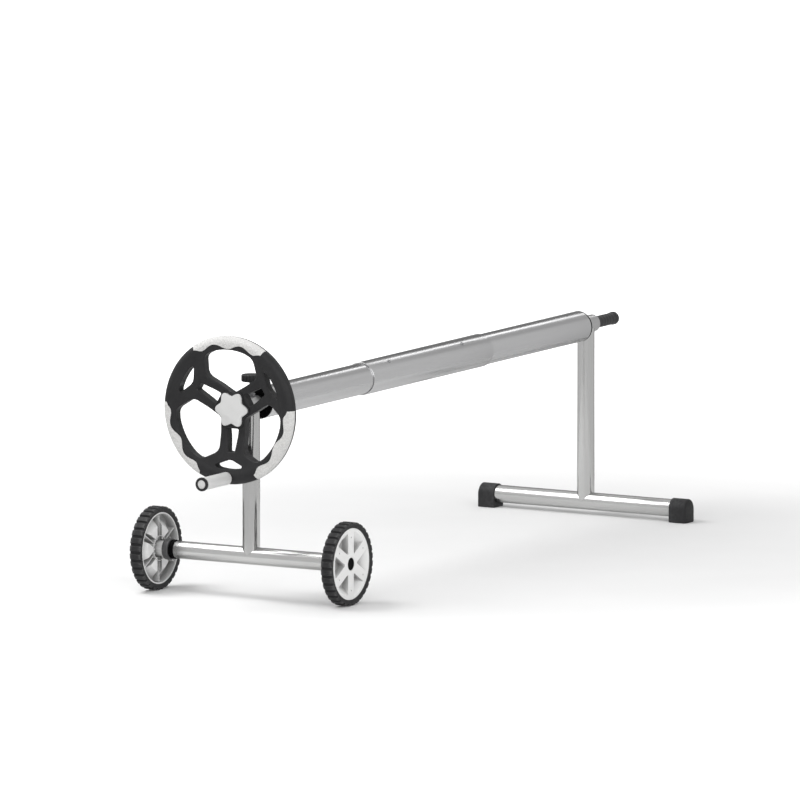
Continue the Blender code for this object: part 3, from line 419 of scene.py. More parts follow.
def combined(obj, body, axis, centre, operation):
    """The object with the body, laid along an axis at a centre, cut away or joined on."""
    helper = mesh_object("helper", placed(body, axis, centre))
    modifier = obj.modifiers.new("combine", "BOOLEAN")
    modifier.operation = operation
    modifier.solver = "EXACT"
    modifier.object = helper
    bpy.context.view_layer.update()
    graph = bpy.context.evaluated_depsgraph_get()
    mesh = bpy.data.meshes.new_from_object(obj.evaluated_get(graph))
    obj.modifiers.clear()
    old = obj.data
    obj.data = mesh
    mesh.name = old.name
    bpy.data.meshes.remove(old)
    bpy.data.objects.remove(helper)
    return obj


def show(obj, rides, *nodes, finish_name=None, sharp=35):
    """Gives a made object its finish and lets it stand for CAD nodes on a body."""
    slot = SLOT_OF[nodes[0]]
    obj.data.shade_smooth()
    obj.data.set_sharp_from_angle(angle=radians(sharp))
    obj.data.materials.clear()
    obj.data.materials.append(FINISHES[finish_name or slot])
    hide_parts(*nodes)
    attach(obj, rides)
    return obj


def turned_piece(name, rides, node, profile, axis, centre, sides=96, finish_name=None):
    obj = mesh_object(name, placed(turned(profile, sides), axis, centre))
    return show(obj, rides, node, finish_name=finish_name)


def tube(name, rides, node, outer, wall, start, end, axis, centre, finish_name=None, edge=0.4):
    """Round tube with broken edges at its ends."""
    inner = outer - wall
    profile = [(inner, start), (outer, start, edge), (outer, end, edge), (inner, end)]
    return turned_piece(name, rides, node, profile, axis, centre, 128, finish_name)


# Stands


def post(name, rides, node, x, foot_z):
    """Round post whose ends are cut to the tubes they meet."""
    saddle = CROSS_RADIUS + GAP
    inner = POST_RADIUS - WALL
    foot = foot_z / MM
    top = REEL_Z / MM

    def shape(radius, turn, distance):
        u, v = radius * cos(turn), radius * sin(turn)
        low = foot + sqrt(saddle**2 - u * u)
        high = top - sqrt(saddle**2 - v * v)
        return u, v, low + (high - low) * distance

    rows = [(inner, 0.0), (POST_RADIUS, 0.0)]
    rows += [(POST_RADIUS, i / 12) for i in range(1, 13)]
    rows += [(inner, 1.0)]
    obj = mesh_object(name, placed(turned(rows, 128, shape=shape), ALONG_Z, (x, 0, 0)))
    return show(obj, rides, node)


def bush_piece(name, rides, node, mouth, inwards, flange, centre):
    """Flanged bush in a housing. mouth is the place of the housing's end, and inwards is the way in."""
    seat = mouth - inwards * GAP
    front = seat - inwards * flange
    end = mouth + inwards * BUSH_DEPTH
    shank = CROSS_RADIUS - HOUSING_WALL - GAP
    profile = [
        (BUSH_BORE, front, 0.6), (CROSS_RADIUS, front, 1.0), (CROSS_RADIUS, seat, 0.4), (shank, seat),
        (shank, end, 0.8), (BUSH_BORE, end),
    ]
    turned_piece(name, rides, node, profile, ALONG_X, centre, finish_name="deep_black")


def end_cap_piece(name, rides, node, base, inwards, centre):
    """Plug of a reel tube with a stepped face."""
    spigot = REEL_RADIUS - REEL_WALL - GAP
    boss = 17
    step = base + inwards * 0.8
    rise = base + inwards * CAP_FLANGE
    shoulder = rise - inwards * GAP
    spigot_end = rise + inwards * CAP_SPIGOT
    boss_end = rise + inwards * CAP_BOSS
    profile = [
        (CAP_BORE, step), (19.0, step), (20.2, base, 0.5), (REEL_RADIUS, base, 1.1),
        (REEL_RADIUS, shoulder, 0.3), (spigot, shoulder), (spigot, spigot_end, 0.8),
        (spigot - 3, spigot_end, 0.8), (spigot - 3, rise, 1.0), (boss, rise, 1.0),
        (boss, boss_end, 0.8), (CAP_BORE, boss_end),
    ]
    turned_piece(name, rides, node, profile, ALONG_X, centre, finish_name="deep_black")


def prism_body(outline, levels):
    """Body through copies of an outline, each at a level and shrunk inwards by an inset."""
    rows = []
    for level, inset in levels:
        rows.append([(u, v, level) for u, v in inset_outline(outline, [inset] * len(outline))])
    return lofted(rows)


def inset_outline(outline, insets):
    """The counter-clockwise outline with each point moved inwards along its normal by its inset."""
    moved = []
    for i, ((u, v), inset) in enumerate(zip(outline, insets)):
        before, after = outline[i - 1], outline[(i + 1) % len(outline)]
        first = Vector((u - before[0], v - before[1])).normalized()
        second = Vector((after[0] - u, after[1] - v)).normalized()
        normal = Vector((-first.y - second.y, first.x + second.x)).normalized()
        stretch = max(normal.dot(Vector((-first.y, first.x))), 0.35)
        moved.append((u + normal.x * inset / stretch, v + normal.y * inset / stretch))
    return moved


def circle(radius, sides, first=0.0):
    turns = [first + 2 * pi * i / sides for i in range(sides)]
    return [(radius * cos(turn), radius * sin(turn)) for turn in turns]


def rod(radius, start, end, sides):
    """Plain turned body for a bore or a boss."""
    return turned([(0, start), (radius, start), (radius, end), (0, end)], sides)


def stands():
    post("near_post", "near_stand", "near_upright", NEAR_X, AXLE_Z)
    post("far_post", "far_stand", "far_upright", FAR_X, BASE_Z)
    for name, body, node, x, z in (
        ("axle", "near_stand", "axle_tube", NEAR_X, AXLE_Z),
        ("base", "far_stand", "base_tube", FAR_X, BASE_Z),
    ):
        low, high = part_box(node)
        start, end = low.y / MM, high.y / MM
        tube(name, body, node, CROSS_RADIUS, WALL, start, end, ALONG_Y, (x, 0, z), "steel_y")
    outer, inner = HOUSING_OUTER_REACH, HOUSING_INNER_REACH
    near = tube("near_bearing_housing", "near_stand", "near_housing", CROSS_RADIUS, HOUSING_WALL,
                -outer, inner, ALONG_X, NEAR_AXIS, edge=0.5)
    combined(near, rod(LOCK_BORE, 0, 42, 48), ALONG_Z, NEAR_AXIS, "DIFFERENCE")
    show(near, "near_stand", "near_housing")
    tube("far_bearing_housing", "far_stand", "far_housing", CROSS_RADIUS, HOUSING_WALL,
         -inner, outer, ALONG_X, FAR_AXIS, edge=0.5)
    bush_piece("outer_bearing_bush", "near_stand", "near_outer_bush", -outer, 1, OUTER_FLANGE, NEAR_AXIS)
    bush_piece("inner_bearing_bush", "near_stand", "near_inner_bush", inner, -1, INNER_FLANGE, NEAR_AXIS)
    bush_piece("far_bearing_bush", "far_stand", "far_inner_bush", -inner, 1, INNER_FLANGE, FAR_AXIS)
    end_cap_piece("near_reel_plug", "reel", "near_end_cap", CAP_FACE, 1, NEAR_AXIS)
    end_cap_piece("far_reel_plug", "far_reel", "far_end_cap", -CAP_FACE, -1, FAR_AXIS)
    for side, name in ((1, "left"), (-1, "right")):
        collar(side, name)
        foot(side, name)
    lock()
    handle()


def collar(side, name):
    """Plug in the end of the axle tube with a collar outside it."""
    bore, edge, shank = 6.3, CROSS_RADIUS + 1.8, CROSS_RADIUS - WALL - GAP
    start = AXLE_TUBE_END + GAP
    face = start + COLLAR_THICKNESS
    profile = [
        (bore, face, 0.4), (edge - 3, face, 0.8), (edge, face - 1.8, 0.8), (edge, start, 0.7),
        (shank, start), (shank, start - PLUG_DEPTH, 0.8), (bore, start - PLUG_DEPTH),
    ]
    turned_piece(name + "_axle_collar", "near_stand", name + "_axle_plug", profile, OUTWARD[side],
                 (NEAR_X, 0, AXLE_Z), finish_name="deep_black")


def foot(side, name):
    """Cap on the base tube with an arched top, a flat sole and a softly rounded outer end."""
    low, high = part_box(name + "_foot")
    half = (high.x - low.x) / 2 / MM
    top = high.z / MM
    centre = top - half
    corners = [(-half, 0, 3.0), (half, 0, 3.0)]
    arch = [(half * cos(pi * i / 40), centre + half * sin(pi * i / 40)) for i in range(41)]
    outline = rounded(corners + arch, 6)
    outer = max(abs(low.y), abs(high.y)) / MM
    depth = (high.y - low.y) / MM
    turns = [radians(18 * i) for i in range(1, 6)]
    rows = [(depth, 0.5), (depth - 0.5, 0.0), (FOOT_EDGE, 0.0)]
    rows += [(FOOT_EDGE * (1 - sin(turn)), FOOT_EDGE * (1 - cos(turn))) for turn in turns]
    stations = []
    for inset, shrink in rows:
        share = 1 - shrink / half
        stations.append([(u * share, side * (outer - inset), v * share) for u, v in outline])
    obj = mesh_object(name + "_foot_cap", placed(lofted(stations), ALONG_Z, (FAR_X, 0, 0)))
    length = 60
    closed_end = outer - FOOT_END_WALL
    start = (closed_end - length if side > 0 else -closed_end) * MM
    socket = rod(CROSS_RADIUS + GAP, 0, length, 96)
    combined(obj, socket, ALONG_Y, (FAR_X, start, BASE_Z), "DIFFERENCE")
    show(obj, "far_stand", name + "_foot")


def lock():
    """Clamp knob on its threaded bolt, above a welded nut."""
    saddle = CROSS_RADIUS + GAP
    top = saddle + LOCK_NUT_HEIGHT
    body = prism_body(circle(LOCK_NUT_FLATS / 2 / cos(pi / 6), 6), ((10, 0), (top, 0)))
    nut = mesh_object("lock_nut_body", placed(body, ALONG_Z, NEAR_AXIS))
    cone = turned([(0, 5), (14, 5), (14, top - 2.6), (8.4, top), (0, top)], 96)
    combined(nut, cone, ALONG_Z, NEAR_AXIS, "INTERSECT")
    combined(nut, rod(saddle, -20, 20, 96), ALONG_X, NEAR_AXIS, "DIFFERENCE")
    combined(nut, rod(LOCK_BORE, 0, 40, 48), ALONG_Z, NEAR_AXIS, "DIFFERENCE")
    show(nut, "near_stand", "lock_nut")
    tip, thread_start, thread_end, end = 14.6, 15.5, 65, 65.2

    def thread(radius, turn, distance):
        if thread_start < distance < thread_end:
            phase = (distance / LOCK_THREAD_PITCH - turn / (2 * pi)) % 1
            radius -= LOCK_THREAD_DEPTH * abs(2 * phase - 1)
        return radius * cos(turn), radius * sin(turn), distance

    rows = [(0, tip), (LOCK_BOLT_RADIUS - 0.5, tip), (LOCK_BOLT_RADIUS, tip + 0.6)]
    rows += [(LOCK_BOLT_RADIUS, thread_start + 0.25 * i) for i in range(1, 196)]
    rows += [(LOCK_BOLT_RADIUS, end), (0, end)]
    bolt = mesh_object("lock_screw", placed(turned(rows, 32, shape=thread), ALONG_Z, NEAR_AXIS))
    show(bolt, "lock", "lock_bolt")
    outline_count = LOCK_FLUTES * 10
    levels = [
        (57, 2.2), (57.5, 1.2), (58.6, 0.4), (60, 0), (70, 0), (72, 0.35), (73.3, 1.2), (74, 2.6),
        (74, 8.5), (73.5, 9.3), (73.3, 10.2), (73.3, 16),
    ]
    rows = []
    for level, inset in levels:
        row = []
        for i in range(outline_count):
            angle = 2 * pi * i / outline_count
            flute = max(0.0, cos(LOCK_FLUTES * angle)) ** 0.7
            radius = LOCK_KNOB_RADIUS - inset - LOCK_FLUTE_DEPTH * flute * max(0.0, 1 - inset / 6)
            row.append((radius * cos(angle), radius * sin(angle), level))
        rows.append(row)
    knob = mesh_object("clamp_knob", placed(lofted(rows), ALONG_Z, NEAR_AXIS))
    socket = rod(LOCK_BOLT_RADIUS + GAP, 40, end + GAP, 48)
    combined(knob, socket, ALONG_Z, NEAR_AXIS, "DIFFERENCE")
    show(knob, "lock", "lock_knob")


def handle():
    """Ribbed grip with an end flange over its core."""
    bore, tip, flange = 11.3, 136.0, 125.0
    start = HOUSING_OUTER_REACH + GAP
    bore_end = tip - 5.7
    profile = [(bore, start), (HANDLE_RADIUS - 0.2, start, 0.5)]
    pitch = (flange - start) / HANDLE_RIBS
    steps = 12
    for rib in range(HANDLE_RIBS):
        for step in range(steps):
            share = (step + 0.5) / steps
            wave = HANDLE_RIB_DEPTH * sin(pi * share) ** 0.6
            profile.append((HANDLE_RADIUS - wave, start + (rib + share) * pitch))
    profile += [
        (HANDLE_RADIUS, flange + 0.3), (HANDLE_END_RADIUS, flange + 1.6, 0.6),
        (HANDLE_END_RADIUS, tip - 1.0, 1.6), (HANDLE_END_RADIUS - 3.0, tip, 1.5),
        (0, tip), (0, bore_end), (bore, bore_end),
    ]
    turned_piece("handle_cover", "far_stand", "handle_grip", profile, ALONG_X, FAR_AXIS)


# Reel


def reel_tubes():
    made = {}
    for name, body, node, radius, wall, edge in (
        ("reel_tube_near", "reel", "near_tube", REEL_RADIUS, REEL_WALL, 0.4),
        ("reel_tube_far", "far_reel", "far_tube", REEL_RADIUS, REEL_WALL, 0.4),
        ("reel_sleeve", "slide_sleeve", "sleeve", SLEEVE_RADIUS, SLEEVE_WALL, 0.7),
    ):
        low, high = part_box(node)
        start, end = low.x / MM, high.x / MM
        made[node] = tube(name, body, node, radius, wall, start, end, ALONG_X, (0, 0, REEL_Z), edge=edge)
    tilt = Matrix.Rotation(SCREW_ANGLE, 4, "X")
    shank = 2.4
    seat = SLEEVE_RADIUS + GAP
    head = [
        (0, 37.9), (shank, 37.9), (shank, seat), (4.5, seat, 0.2), (4.4, seat + 0.9, 0.5),
        (3.2, seat + 1.7, 0.9), (2.0, seat + 2.15, 0.2), (1.6, seat + 2.15), (1.5, seat + 0.9),
        (0, seat + 0.9),
    ]
    for name in ("near", "far"):
        node = name + "_sleeve_screw"
        centre = (middle(node).x, 0, REEL_Z)
        combined(made["sleeve"], rod(shank + GAP, 30, 50, 32), tilt, centre, "DIFFERENCE")
        turned_piece(name + "_clamp_screw", "slide_sleeve", node, head, tilt, centre, 48)
    show(made["sleeve"], "slide_sleeve", "sleeve")


# Handwheel


def turned_outline(outline, degrees):
    angle = radians(degrees)
    return [(u * cos(angle) + v * sin(angle), v * cos(angle) - u * sin(angle)) for u, v in outline]


def rim_arc(radius, half_angle):
    """Points along a circle from one side of straight up to the other."""
    steps = 8
    turns = [radians(half_angle * (1 - 2 * i / steps)) for i in range(steps + 1)]
    return [(radius * sin(turn), radius * cos(turn)) for turn in turns]


def opening_outline():
    """Large opening between two spokes, centred on straight up."""
    slant = sin(radians(60))
    apex = SPOKE_HALF / slant
    shoulder = (SPOKE_HALF + OPENING_HALF_WIDTH / 2) / slant
    side = [(OPENING_HALF_WIDTH, shoulder, 21), (OPENING_HALF_WIDTH - 4, RIM_INNER - 18, 21)]
    other = [(-u, v, radius) for u, v, radius in reversed(side)]
    return rounded([(0, apex, 12)] + side + rim_arc(RIM_INNER, 18) + other, 8)


def slot_outline():
    """Tapered slot along a spoke that points straight up."""
    wide, narrow = SLOT_HALF_WIDTH, SLOT_TIP_HALF_WIDTH
    corners = ((-wide, SLOT_START), (wide, SLOT_START), (narrow, SLOT_END), (-narrow, SLOT_END))
    return rounded([(u, v, 3) for u, v in corners], 5)


def flare_outline():
    """Arched opening between a spoke and the rim."""
    outer = RIM_INNER - 4
    corner = outer - 9
    right, left = (FLARE_HALF_WIDTH, corner, 3), (-FLARE_HALF_WIDTH, corner, 3)
    return rounded([(0, outer - FLARE_HEIGHT, 30), right] + rim_arc(outer, 12) + [left], 5)


def star(margin, per_lobe=12):
    """Outline of the star knob, larger all round by a margin."""
    outline = []
    count = per_lobe * KNOB_LOBES
    for i in range(count):
        angle = 2 * pi * i / count
        radius = KNOB_MEAN_RADIUS + margin - KNOB_LOBE_HEIGHT * cos(KNOB_LOBES * angle)
        outline.append((radius * sin(angle), radius * cos(angle)))
    return outline


def counter_clockwise(outline):
    area = sum(a[0] * b[1] - b[0] * a[1] for a, b in zip(outline, outline[1:] + outline[:1]))
    return outline if area > 0 else outline[::-1]


def dense(outline, spacing):
    """The outline with points added so that none lie further apart than the spacing."""
    filled = []
    for a, b in zip(outline, outline[1:] + outline[:1]):
        u, v = b[0] - a[0], b[1] - a[1]
        count = max(1, int(hypot(u, v) / spacing))
        filled += [(a[0] + u * i / count, a[1] + v * i / count) for i in range(count)]
    return filled


def distances(points, outline):
    """Distance of each point to an outline, and whether it lies inside."""
    start = np.array(outline)
    end = np.roll(start, -1, axis=0)
    side = end - start
    length = (side**2).sum(1)
    gap = points[:, None, :] - start[None]
    share = np.clip((gap * side).sum(2) / length, 0, 1)
    away = np.sqrt(((gap - share[..., None] * side) ** 2).sum(2)).min(1)
    above = (start[None, :, 1] > points[:, None, 1]) != (end[None, :, 1] > points[:, None, 1])
    with np.errstate(divide="ignore", invalid="ignore"):
        cross = start[:, 0] + (points[:, None, 1] - start[:, 1]) * side[:, 0] / side[:, 1]
    inside = (above & (points[:, None, 0] < cross)).sum(1) % 2 == 1
    return away, inside


def rim_face(radius):
    """Depth of the rim's crowned front at a radius between its inner edge and its crest."""
    return RIM_FRONT - RIM_CROWN * ((RIM_CREST - radius) / (RIM_CREST - RIM_INNER)) ** 2


# Each line is a section of the handwheel, as points of (radius, depth).
CROWN_RADII = (RIM_INNER, 148, 150, 152, 154, 156, 158, 160, RIM_CREST)
RIM_LINE = [(radius, rim_face(radius)) for radius in CROWN_RADII] + [
    (164, 115.35), (166, 114.95), (168, 114.3), (170, 113.3), (172, 111.9), (173.6, 110.4), (175, 108.7),
    (176.1, 106.9), (176.9, 105.0), (177.35, 103.2), (WHEEL_RADIUS, 101.5),
]
FRONT_LINE = [
    (0, SPOKE_FRONT), (61, SPOKE_FRONT), (64, 88.1), (67, 88.5), (70, 89.0), (99, 95.5), (102, 96.2),
    (105, 97.0), (108, 97.9), (142.5, 109.8),
] + RIM_LINE
BACK_LINE = [
    (0, 36.0), (20.0, 36.0), (20.6, 40.0), (23.4, 60.0), (25, 61.8), (46, 63.9), (47.5, 64.4), (61, 64.5),
    (66, 64.7), (71, 65.7), (99, 72.0), (104, 73.2), (109, 74.8), (141, 85.8), (146, 87.2), (151, 87.9),
    (161, 88.5), (171, 89.1), (174, 89.6), (176, 90.6), (177.1, 91.9), (WHEEL_RADIUS, 93.5),
]
PLAIN_RADII = {12.7, 12.8, 30, 55, 80, 90, 116, 125, 134}


def chamfer_width(width, radius):
    """A chamfer's width, which narrows towards the rim."""
    return width * np.interp(radius, [124, 140], [1.0, 0.4])


def wheel_body():
    """Dished three-spoke wheel with chamfered cut-outs, as two surfaces over one flat pattern."""
    cutouts = []
    for angle in SPOKES:
        cutouts.append((turned_outline(opening_outline(), angle + 180), 3.4, 2.2))
        cutouts.append((turned_outline(slot_outline(), angle), 1.8, 1.3))
        cutouts.append((turned_outline(flare_outline(), angle), 2.6, 1.5))
    cutouts = [(dense(counter_clockwise(outline), 3.0), width, depth) for outline, width, depth in cutouts]
    pad = dense(counter_clockwise(star(PAD_MARGIN)), 2.5)
    loops = []
    for outline, width, _ in cutouts:
        widths = [chamfer_width(width, hypot(u, v)) for u, v in outline]
        loops += [inset_outline(outline, [-share * wide for wide in widths]) for share in CHAMFER_SHARES]
    loops += [inset_outline(pad, [inset] * len(pad)) for inset in (0, 0.15, 0.9)]
    radii = sorted({p[0] for p in FRONT_LINE + BACK_LINE if p[0] > 12} | PLAIN_RADII)
    loops += [circle(radius, 192, 0.001 * radius) for radius in radii]
    loops.append(circle(SHAFT_BORE, 96))
    for radius in (5.3, 5.4):
        loops.append([(u, v - RIM_CREST) for u, v in circle(radius, 32)])
    points, edges = [], []
    for loop in loops:
        first = len(points)
        points += [Vector(p) for p in loop]
        edges += [(first + i, first + (i + 1) % len(loop)) for i in range(len(loop))]
    flat, _, faces = delaunay_2d_cdt(points, edges, [], 0, 1e-4)[:3]
    where = np.array([tuple(p) for p in flat])
    radius = np.hypot(where[:, 0], where[:, 1])
    front = np.interp(radius, [p[0] for p in FRONT_LINE], [p[1] for p in FRONT_LINE])
    back = np.interp(radius, [p[0] for p in BACK_LINE], [p[1] for p in BACK_LINE])
    away, inside = distances(where, pad)
    raised = np.interp(away, [0, 0.15, 0.9], [SPOKE_FRONT, PAD_FACE - 0.8, PAD_FACE])
    front = np.where(inside, np.maximum(front, raised), front)
    front = np.where(radius < NUT_RECESS_RADIUS, PAD_FACE - NUT_RECESS, front)
    away = np.hypot(where[:, 0], where[:, 1] + RIM_CREST)
    front = np.where(away < 5.35, 92.3, front)
    centres = np.array([np.mean([where[i] for i in face], axis=0) for face in faces])
    solid = np.hypot(centres[:, 0], centres[:, 1]) > SHAFT_BORE - 0.01
    for outline, width, depth in cutouts:
        away, inside = distances(where, outline)
        share = np.clip(away / chamfer_width(width, radius), 0, 1)
        reach = depth * chamfer_width(1.0, radius)
        front -= reach * np.interp(share, CHAMFER_SHARES, [1.0, 0.80, 0.04, 0])
        back += 0.8 * np.interp(away, [0, 0.3, 1.0], [1.0, 0.4, 0])
        solid &= ~distances(centres, outline)[1]
    body = bmesh.new()
    fronts = [body.verts.new((u, v, depth)) for (u, v), depth in zip(where, front)]
    backs = [body.verts.new((u, v, depth)) for (u, v), depth in zip(where, back)]
    sides = {}
    for face, keep in zip(faces, solid):
        if not keep:
            continue
        body.faces.new([fronts[i] for i in face])
        body.faces.new([backs[i] for i in reversed(face)])
        for a, b in zip(face, face[1:] + face[:1]):
            key = (min(a, b), max(a, b))
            sides[key] = sides.get(key, []) + [(a, b)]
    for pair in sides.values():
        if len(pair) == 1:
            a, b = pair[0]
            body.faces.new((backs[a], backs[b], fronts[b], fronts[a]))
    loose = [v for v in body.verts if not v.link_faces]
    bmesh.ops.delete(body, geom=loose, context="VERTS")
    return body


# A flat pattern of (u, v, depth) is laid so that u runs along +Y, v up and depth towards the handwheel.
WHEEL_SPACE = Matrix(((0, 0, -1, 0), (1, 0, 0, 0), (0, 1, 0, 0), (0, 0, 0, 1)))


def grip_edge(turn):
    """Radius of a grip's wavy inner edge at an angle in degrees from its middle."""
    width = 23.7 + 5.6 * cos(2 * pi * turn / GRIP_WAVE_ANGLE) - 10.3 * (turn / GRIP_HALF_ANGLE) ** 2
    left = max(GRIP_HALF_ANGLE - abs(turn), 0) / 6
    if left < 1:
        width += (GRIP_END_WIDTH - width) * (1 - left) ** 1.5
    return WHEEL_RADIUS - width


def section_line(edge):
    """Points round the rim from a grip's inner edge to its back, with how far along the line each lies."""
    line = RIM_LINE + [(WHEEL_RADIUS, GRIP_BACK)]
    lengths = [0]
    for a, b in zip(line, line[1:]):
        lengths.append(lengths[-1] + hypot(b[0] - a[0], b[1] - a[1]))
    radii = [p[0] for p in line[:-1]]
    first = float(np.interp(edge, radii, lengths[:-1]))
    shares = np.linspace(0, 1, 41)
    places = first + (lengths[-1] - first) * (3 * shares**2 - 2 * shares**3)
    us = np.interp(places, lengths, [p[0] for p in line])
    vs = np.interp(places, lengths, [p[1] for p in line])
    return places, list(zip(us, vs))


def grip_piece(name, node, centre_angle):
    """Soft cover lying on the rim with a wavy inner edge and softly rounded borders."""
    rows = []
    stations = 150
    for station in range(stations + 1):
        share = 2 * station / stations - 1
        turn = GRIP_HALF_ANGLE * sin(share * pi / 2)
        places, line = section_line(grip_edge(turn))
        angle = radians(centre_angle + turn)
        outside, inside = [], []
        for i, (radius, depth) in enumerate(line):
            before, after = line[max(i - 1, 0)], line[min(i + 1, len(line) - 1)]
            along = Vector((after[0] - before[0], after[1] - before[1])).normalized()
            normal = Vector((-along.y, along.x))
            ends = radians(GRIP_HALF_ANGLE - abs(turn)) * radius
            border = min(places[i] - places[0], places[-1] - places[i], ends)
            lift = min(max(border / GRIP_EDGE_WIDTH, 0), 1)
            height = GRIP_EDGE_HEIGHT + (GRIP_HEIGHT - GRIP_EDGE_HEIGHT) * sqrt(1 - (1 - lift) ** 2)
            outside.append((radius + normal.x * height, depth + normal.y * height))
            inside.append((radius + normal.x * GRIP_SEAT, depth + normal.y * GRIP_SEAT))
        section = outside + inside[::-1]
        rows.append([(r * sin(angle), r * cos(angle), d) for r, d in section])
    obj = mesh_object(name, placed(lofted(rows), WHEEL_SPACE, NEAR_AXIS))
    return show(obj, "reel", node, sharp=70)


def handwheel():
    wheel = mesh_object("dished_handwheel", placed(wheel_body(), WHEEL_SPACE, NEAR_AXIS))
    show(wheel, "reel", "handwheel", sharp=24)
    for angle, name in zip(SPOKES, ("right", "top", "left")):
        grip_piece(name + "_soft_grip", name + "_rim_grip", angle + 180)
    back = PAD_FACE + GAP
    rises = ((0, 0.4), (0.4, 0), (3.9, 0), (4.7, 0.3), (5.25, 0.9), (5.5, 1.8))
    body = prism_body(counter_clockwise(star(0, 20)), [(back + rise, inset) for rise, inset in rises])
    knob = mesh_object("star_knob_body", placed(body, WHEEL_SPACE, NEAR_AXIS))
    start, inside = PAD_FACE - 6.9, PAD_FACE + 1
    boss = turned([(0, start), (12.5, start, 0.5), (12.5, inside), (0, inside)], 64)
    combined(knob, boss, WHEEL_SPACE, NEAR_AXIS, "UNION")
    bore = rod(6.4, 60, PAD_FACE + 2.1, 48)
    combined(knob, bore, WHEEL_SPACE, NEAR_AXIS, "DIFFERENCE")
    show(knob, "wheel_nut", "star_knob")
    crank()


def crank():
    """Turning grip with a black ring and a light domed cap at its end, on a bolt out of the rim."""
    centre = NEAR_AXIS + Vector((0, 0, -RIM_CREST * MM))
    end, foot_place = CRANK_END, RIM_FRONT + 1
    mouth = end - 6.3
    head = end - 11
    bolt = [(0, 92.8), (5, 92.8), (5, head), (9, head, 0.5), (9, head + 4, 0.8), (0, head + 4)]
    bore, socket = 5.4, 13.0
    sleeve = [
        (bore, foot_place), (13.6, foot_place, 0.8), (CRANK_RADIUS, foot_place + 2.2, 1.2),
        (15.3, 155), (15.35, 190), (CRANK_RADIUS, mouth, 0.6), (socket, mouth),
        (socket, head + GAP), (bore, head + GAP),
    ]
    spigot, eye, inner = socket - GAP, CRANK_LENS_RADIUS + GAP, 9.8
    ring = [
        (inner, mouth - 4), (spigot, mouth - 4, 0.4), (spigot, mouth + GAP),
        (CRANK_RING_RADIUS, mouth + GAP, 0.5), (CRANK_RING_RADIUS, end - 1.2, 1.2), (15.0, end, 1.0),
        (eye, end, 0.5), (eye, end - 4), (inner, end - 4),
    ]
    dome = [radians(9 * i) for i in range(1, 11)]
    lens = [(0, end)] + [(CRANK_LENS_RADIUS * sin(turn), end - 1.8 * (1 - cos(turn))) for turn in dome]
    lens += [(CRANK_LENS_RADIUS, end - 3.7), (0, end - 3.7)]
    for name, body, node, profile, sides in (
        ("crank_pin", "reel", "crank_bolt", bolt, 48),
        ("crank_grip_sleeve", "crank", "crank_grip", sleeve, 96),
        ("crank_black_ring", "crank", "crank_end_ring", ring, 96),
        ("crank_light_cap", "crank", "crank_end_cap", lens, 96),
    ):
        turned_piece(name, body, node, profile, WHEEL_SPACE, centre, sides)


# Road wheels


def tyre(name, centre):
    """Rubber ring with bars across its tread whose ends are chamfered."""
    rows = []
    pitch = 2 * pi / LUG_COUNT
    stations = (
        (-0.5, 0.0), (-0.42, 0.0), (-0.385, 0.08), (-0.30, 0.90), (-0.265, 1.0), (-0.22, 1.0),
        (0.22, 1.0), (0.265, 1.0), (0.30, 0.90), (0.385, 0.08), (0.42, 0.0),
    )
    for lug in range(LUG_COUNT):
        centre_angle = (lug + 0.5) * pitch - pi / 2
        for shift, lift in stations:
            angle = centre_angle + shift * pitch
            crown = TYRE_VALLEY + LUG_HEIGHT * lift
            edge = 95.0 + 2.9 * lift
            low = 92.6 + 0.9 * lift
            half = [
                (86.0, 12.6), (87.2, 13.6), (91.0, 14.4), (low, 15.0 - 0.2 * (1 - lift)), (edge, 14.9),
                (crown, 13.2), (crown, 6.0),
            ]
            section = [(r, -d) for r, d in half] + [(crown, 0)] + half[::-1]
            rows.append([(r * cos(angle), r * sin(angle), d) for r, d in section])
    obj = mesh_object(name + "_lugged_tyre", placed(lofted(rows, closed=True), ALONG_Y, centre))
    show(obj, name + "_wheel", name + "_tyre", sharp=30)


def pocket_rows(degrees, top, bottom, grow, mouth, face):
    """Wedge between two hub spokes. grow enlarges it all round, and mouth flares it just at the face."""
    if mouth:
        wide = grow + mouth
        levels = [(top, wide), (face, wide), (face - 0.9, grow), (bottom + 2.0, grow), (bottom, grow - 1.6)]
    else:
        levels = [(top, grow), (bottom, grow)]
    slope = (POCKET_TOP - POCKET_FLOOR) / POCKET_DEPTH
    half_pitch = pi / HUB_SPOKES
    fillet, steps = 2.5, 14
    rows = []
    for level, larger in levels:
        offset = HUB_SPOKE_HALF - larger
        radius = POCKET_TOP - slope * max(face - level, 0) + larger * sqrt(1 + slope * slope)
        half = half_pitch - asin(offset / radius)
        outline = [(0.0, offset / sin(half_pitch), fillet)]
        for step in range(steps + 1):
            turn = half * (1 - 2 * step / steps)
            corner = fillet if step in (0, steps) else 0
            outline.append((radius * sin(turn), radius * cos(turn), corner))
        rows.append([(u, v, level) for u, v in turned_outline(rounded(outline), degrees)])
    return rows


def six_around(outline, low, high):
    """Six copies of an outline about the axis, each made into a prism between two levels."""
    body = bmesh.new()
    for turn in range(HUB_SPOKES):
        rows = []
        for level in (low, high):
            rows.append([body.verts.new((u, v, level)) for u, v in turned_outline(outline, 60 * turn)])
        for i in range(len(outline)):
            body.faces.new((rows[0][i - 1], rows[0][i], rows[1][i], rows[1][i - 1]))
        body.faces.new(rows[0])
        body.faces.new(rows[1])
    return body


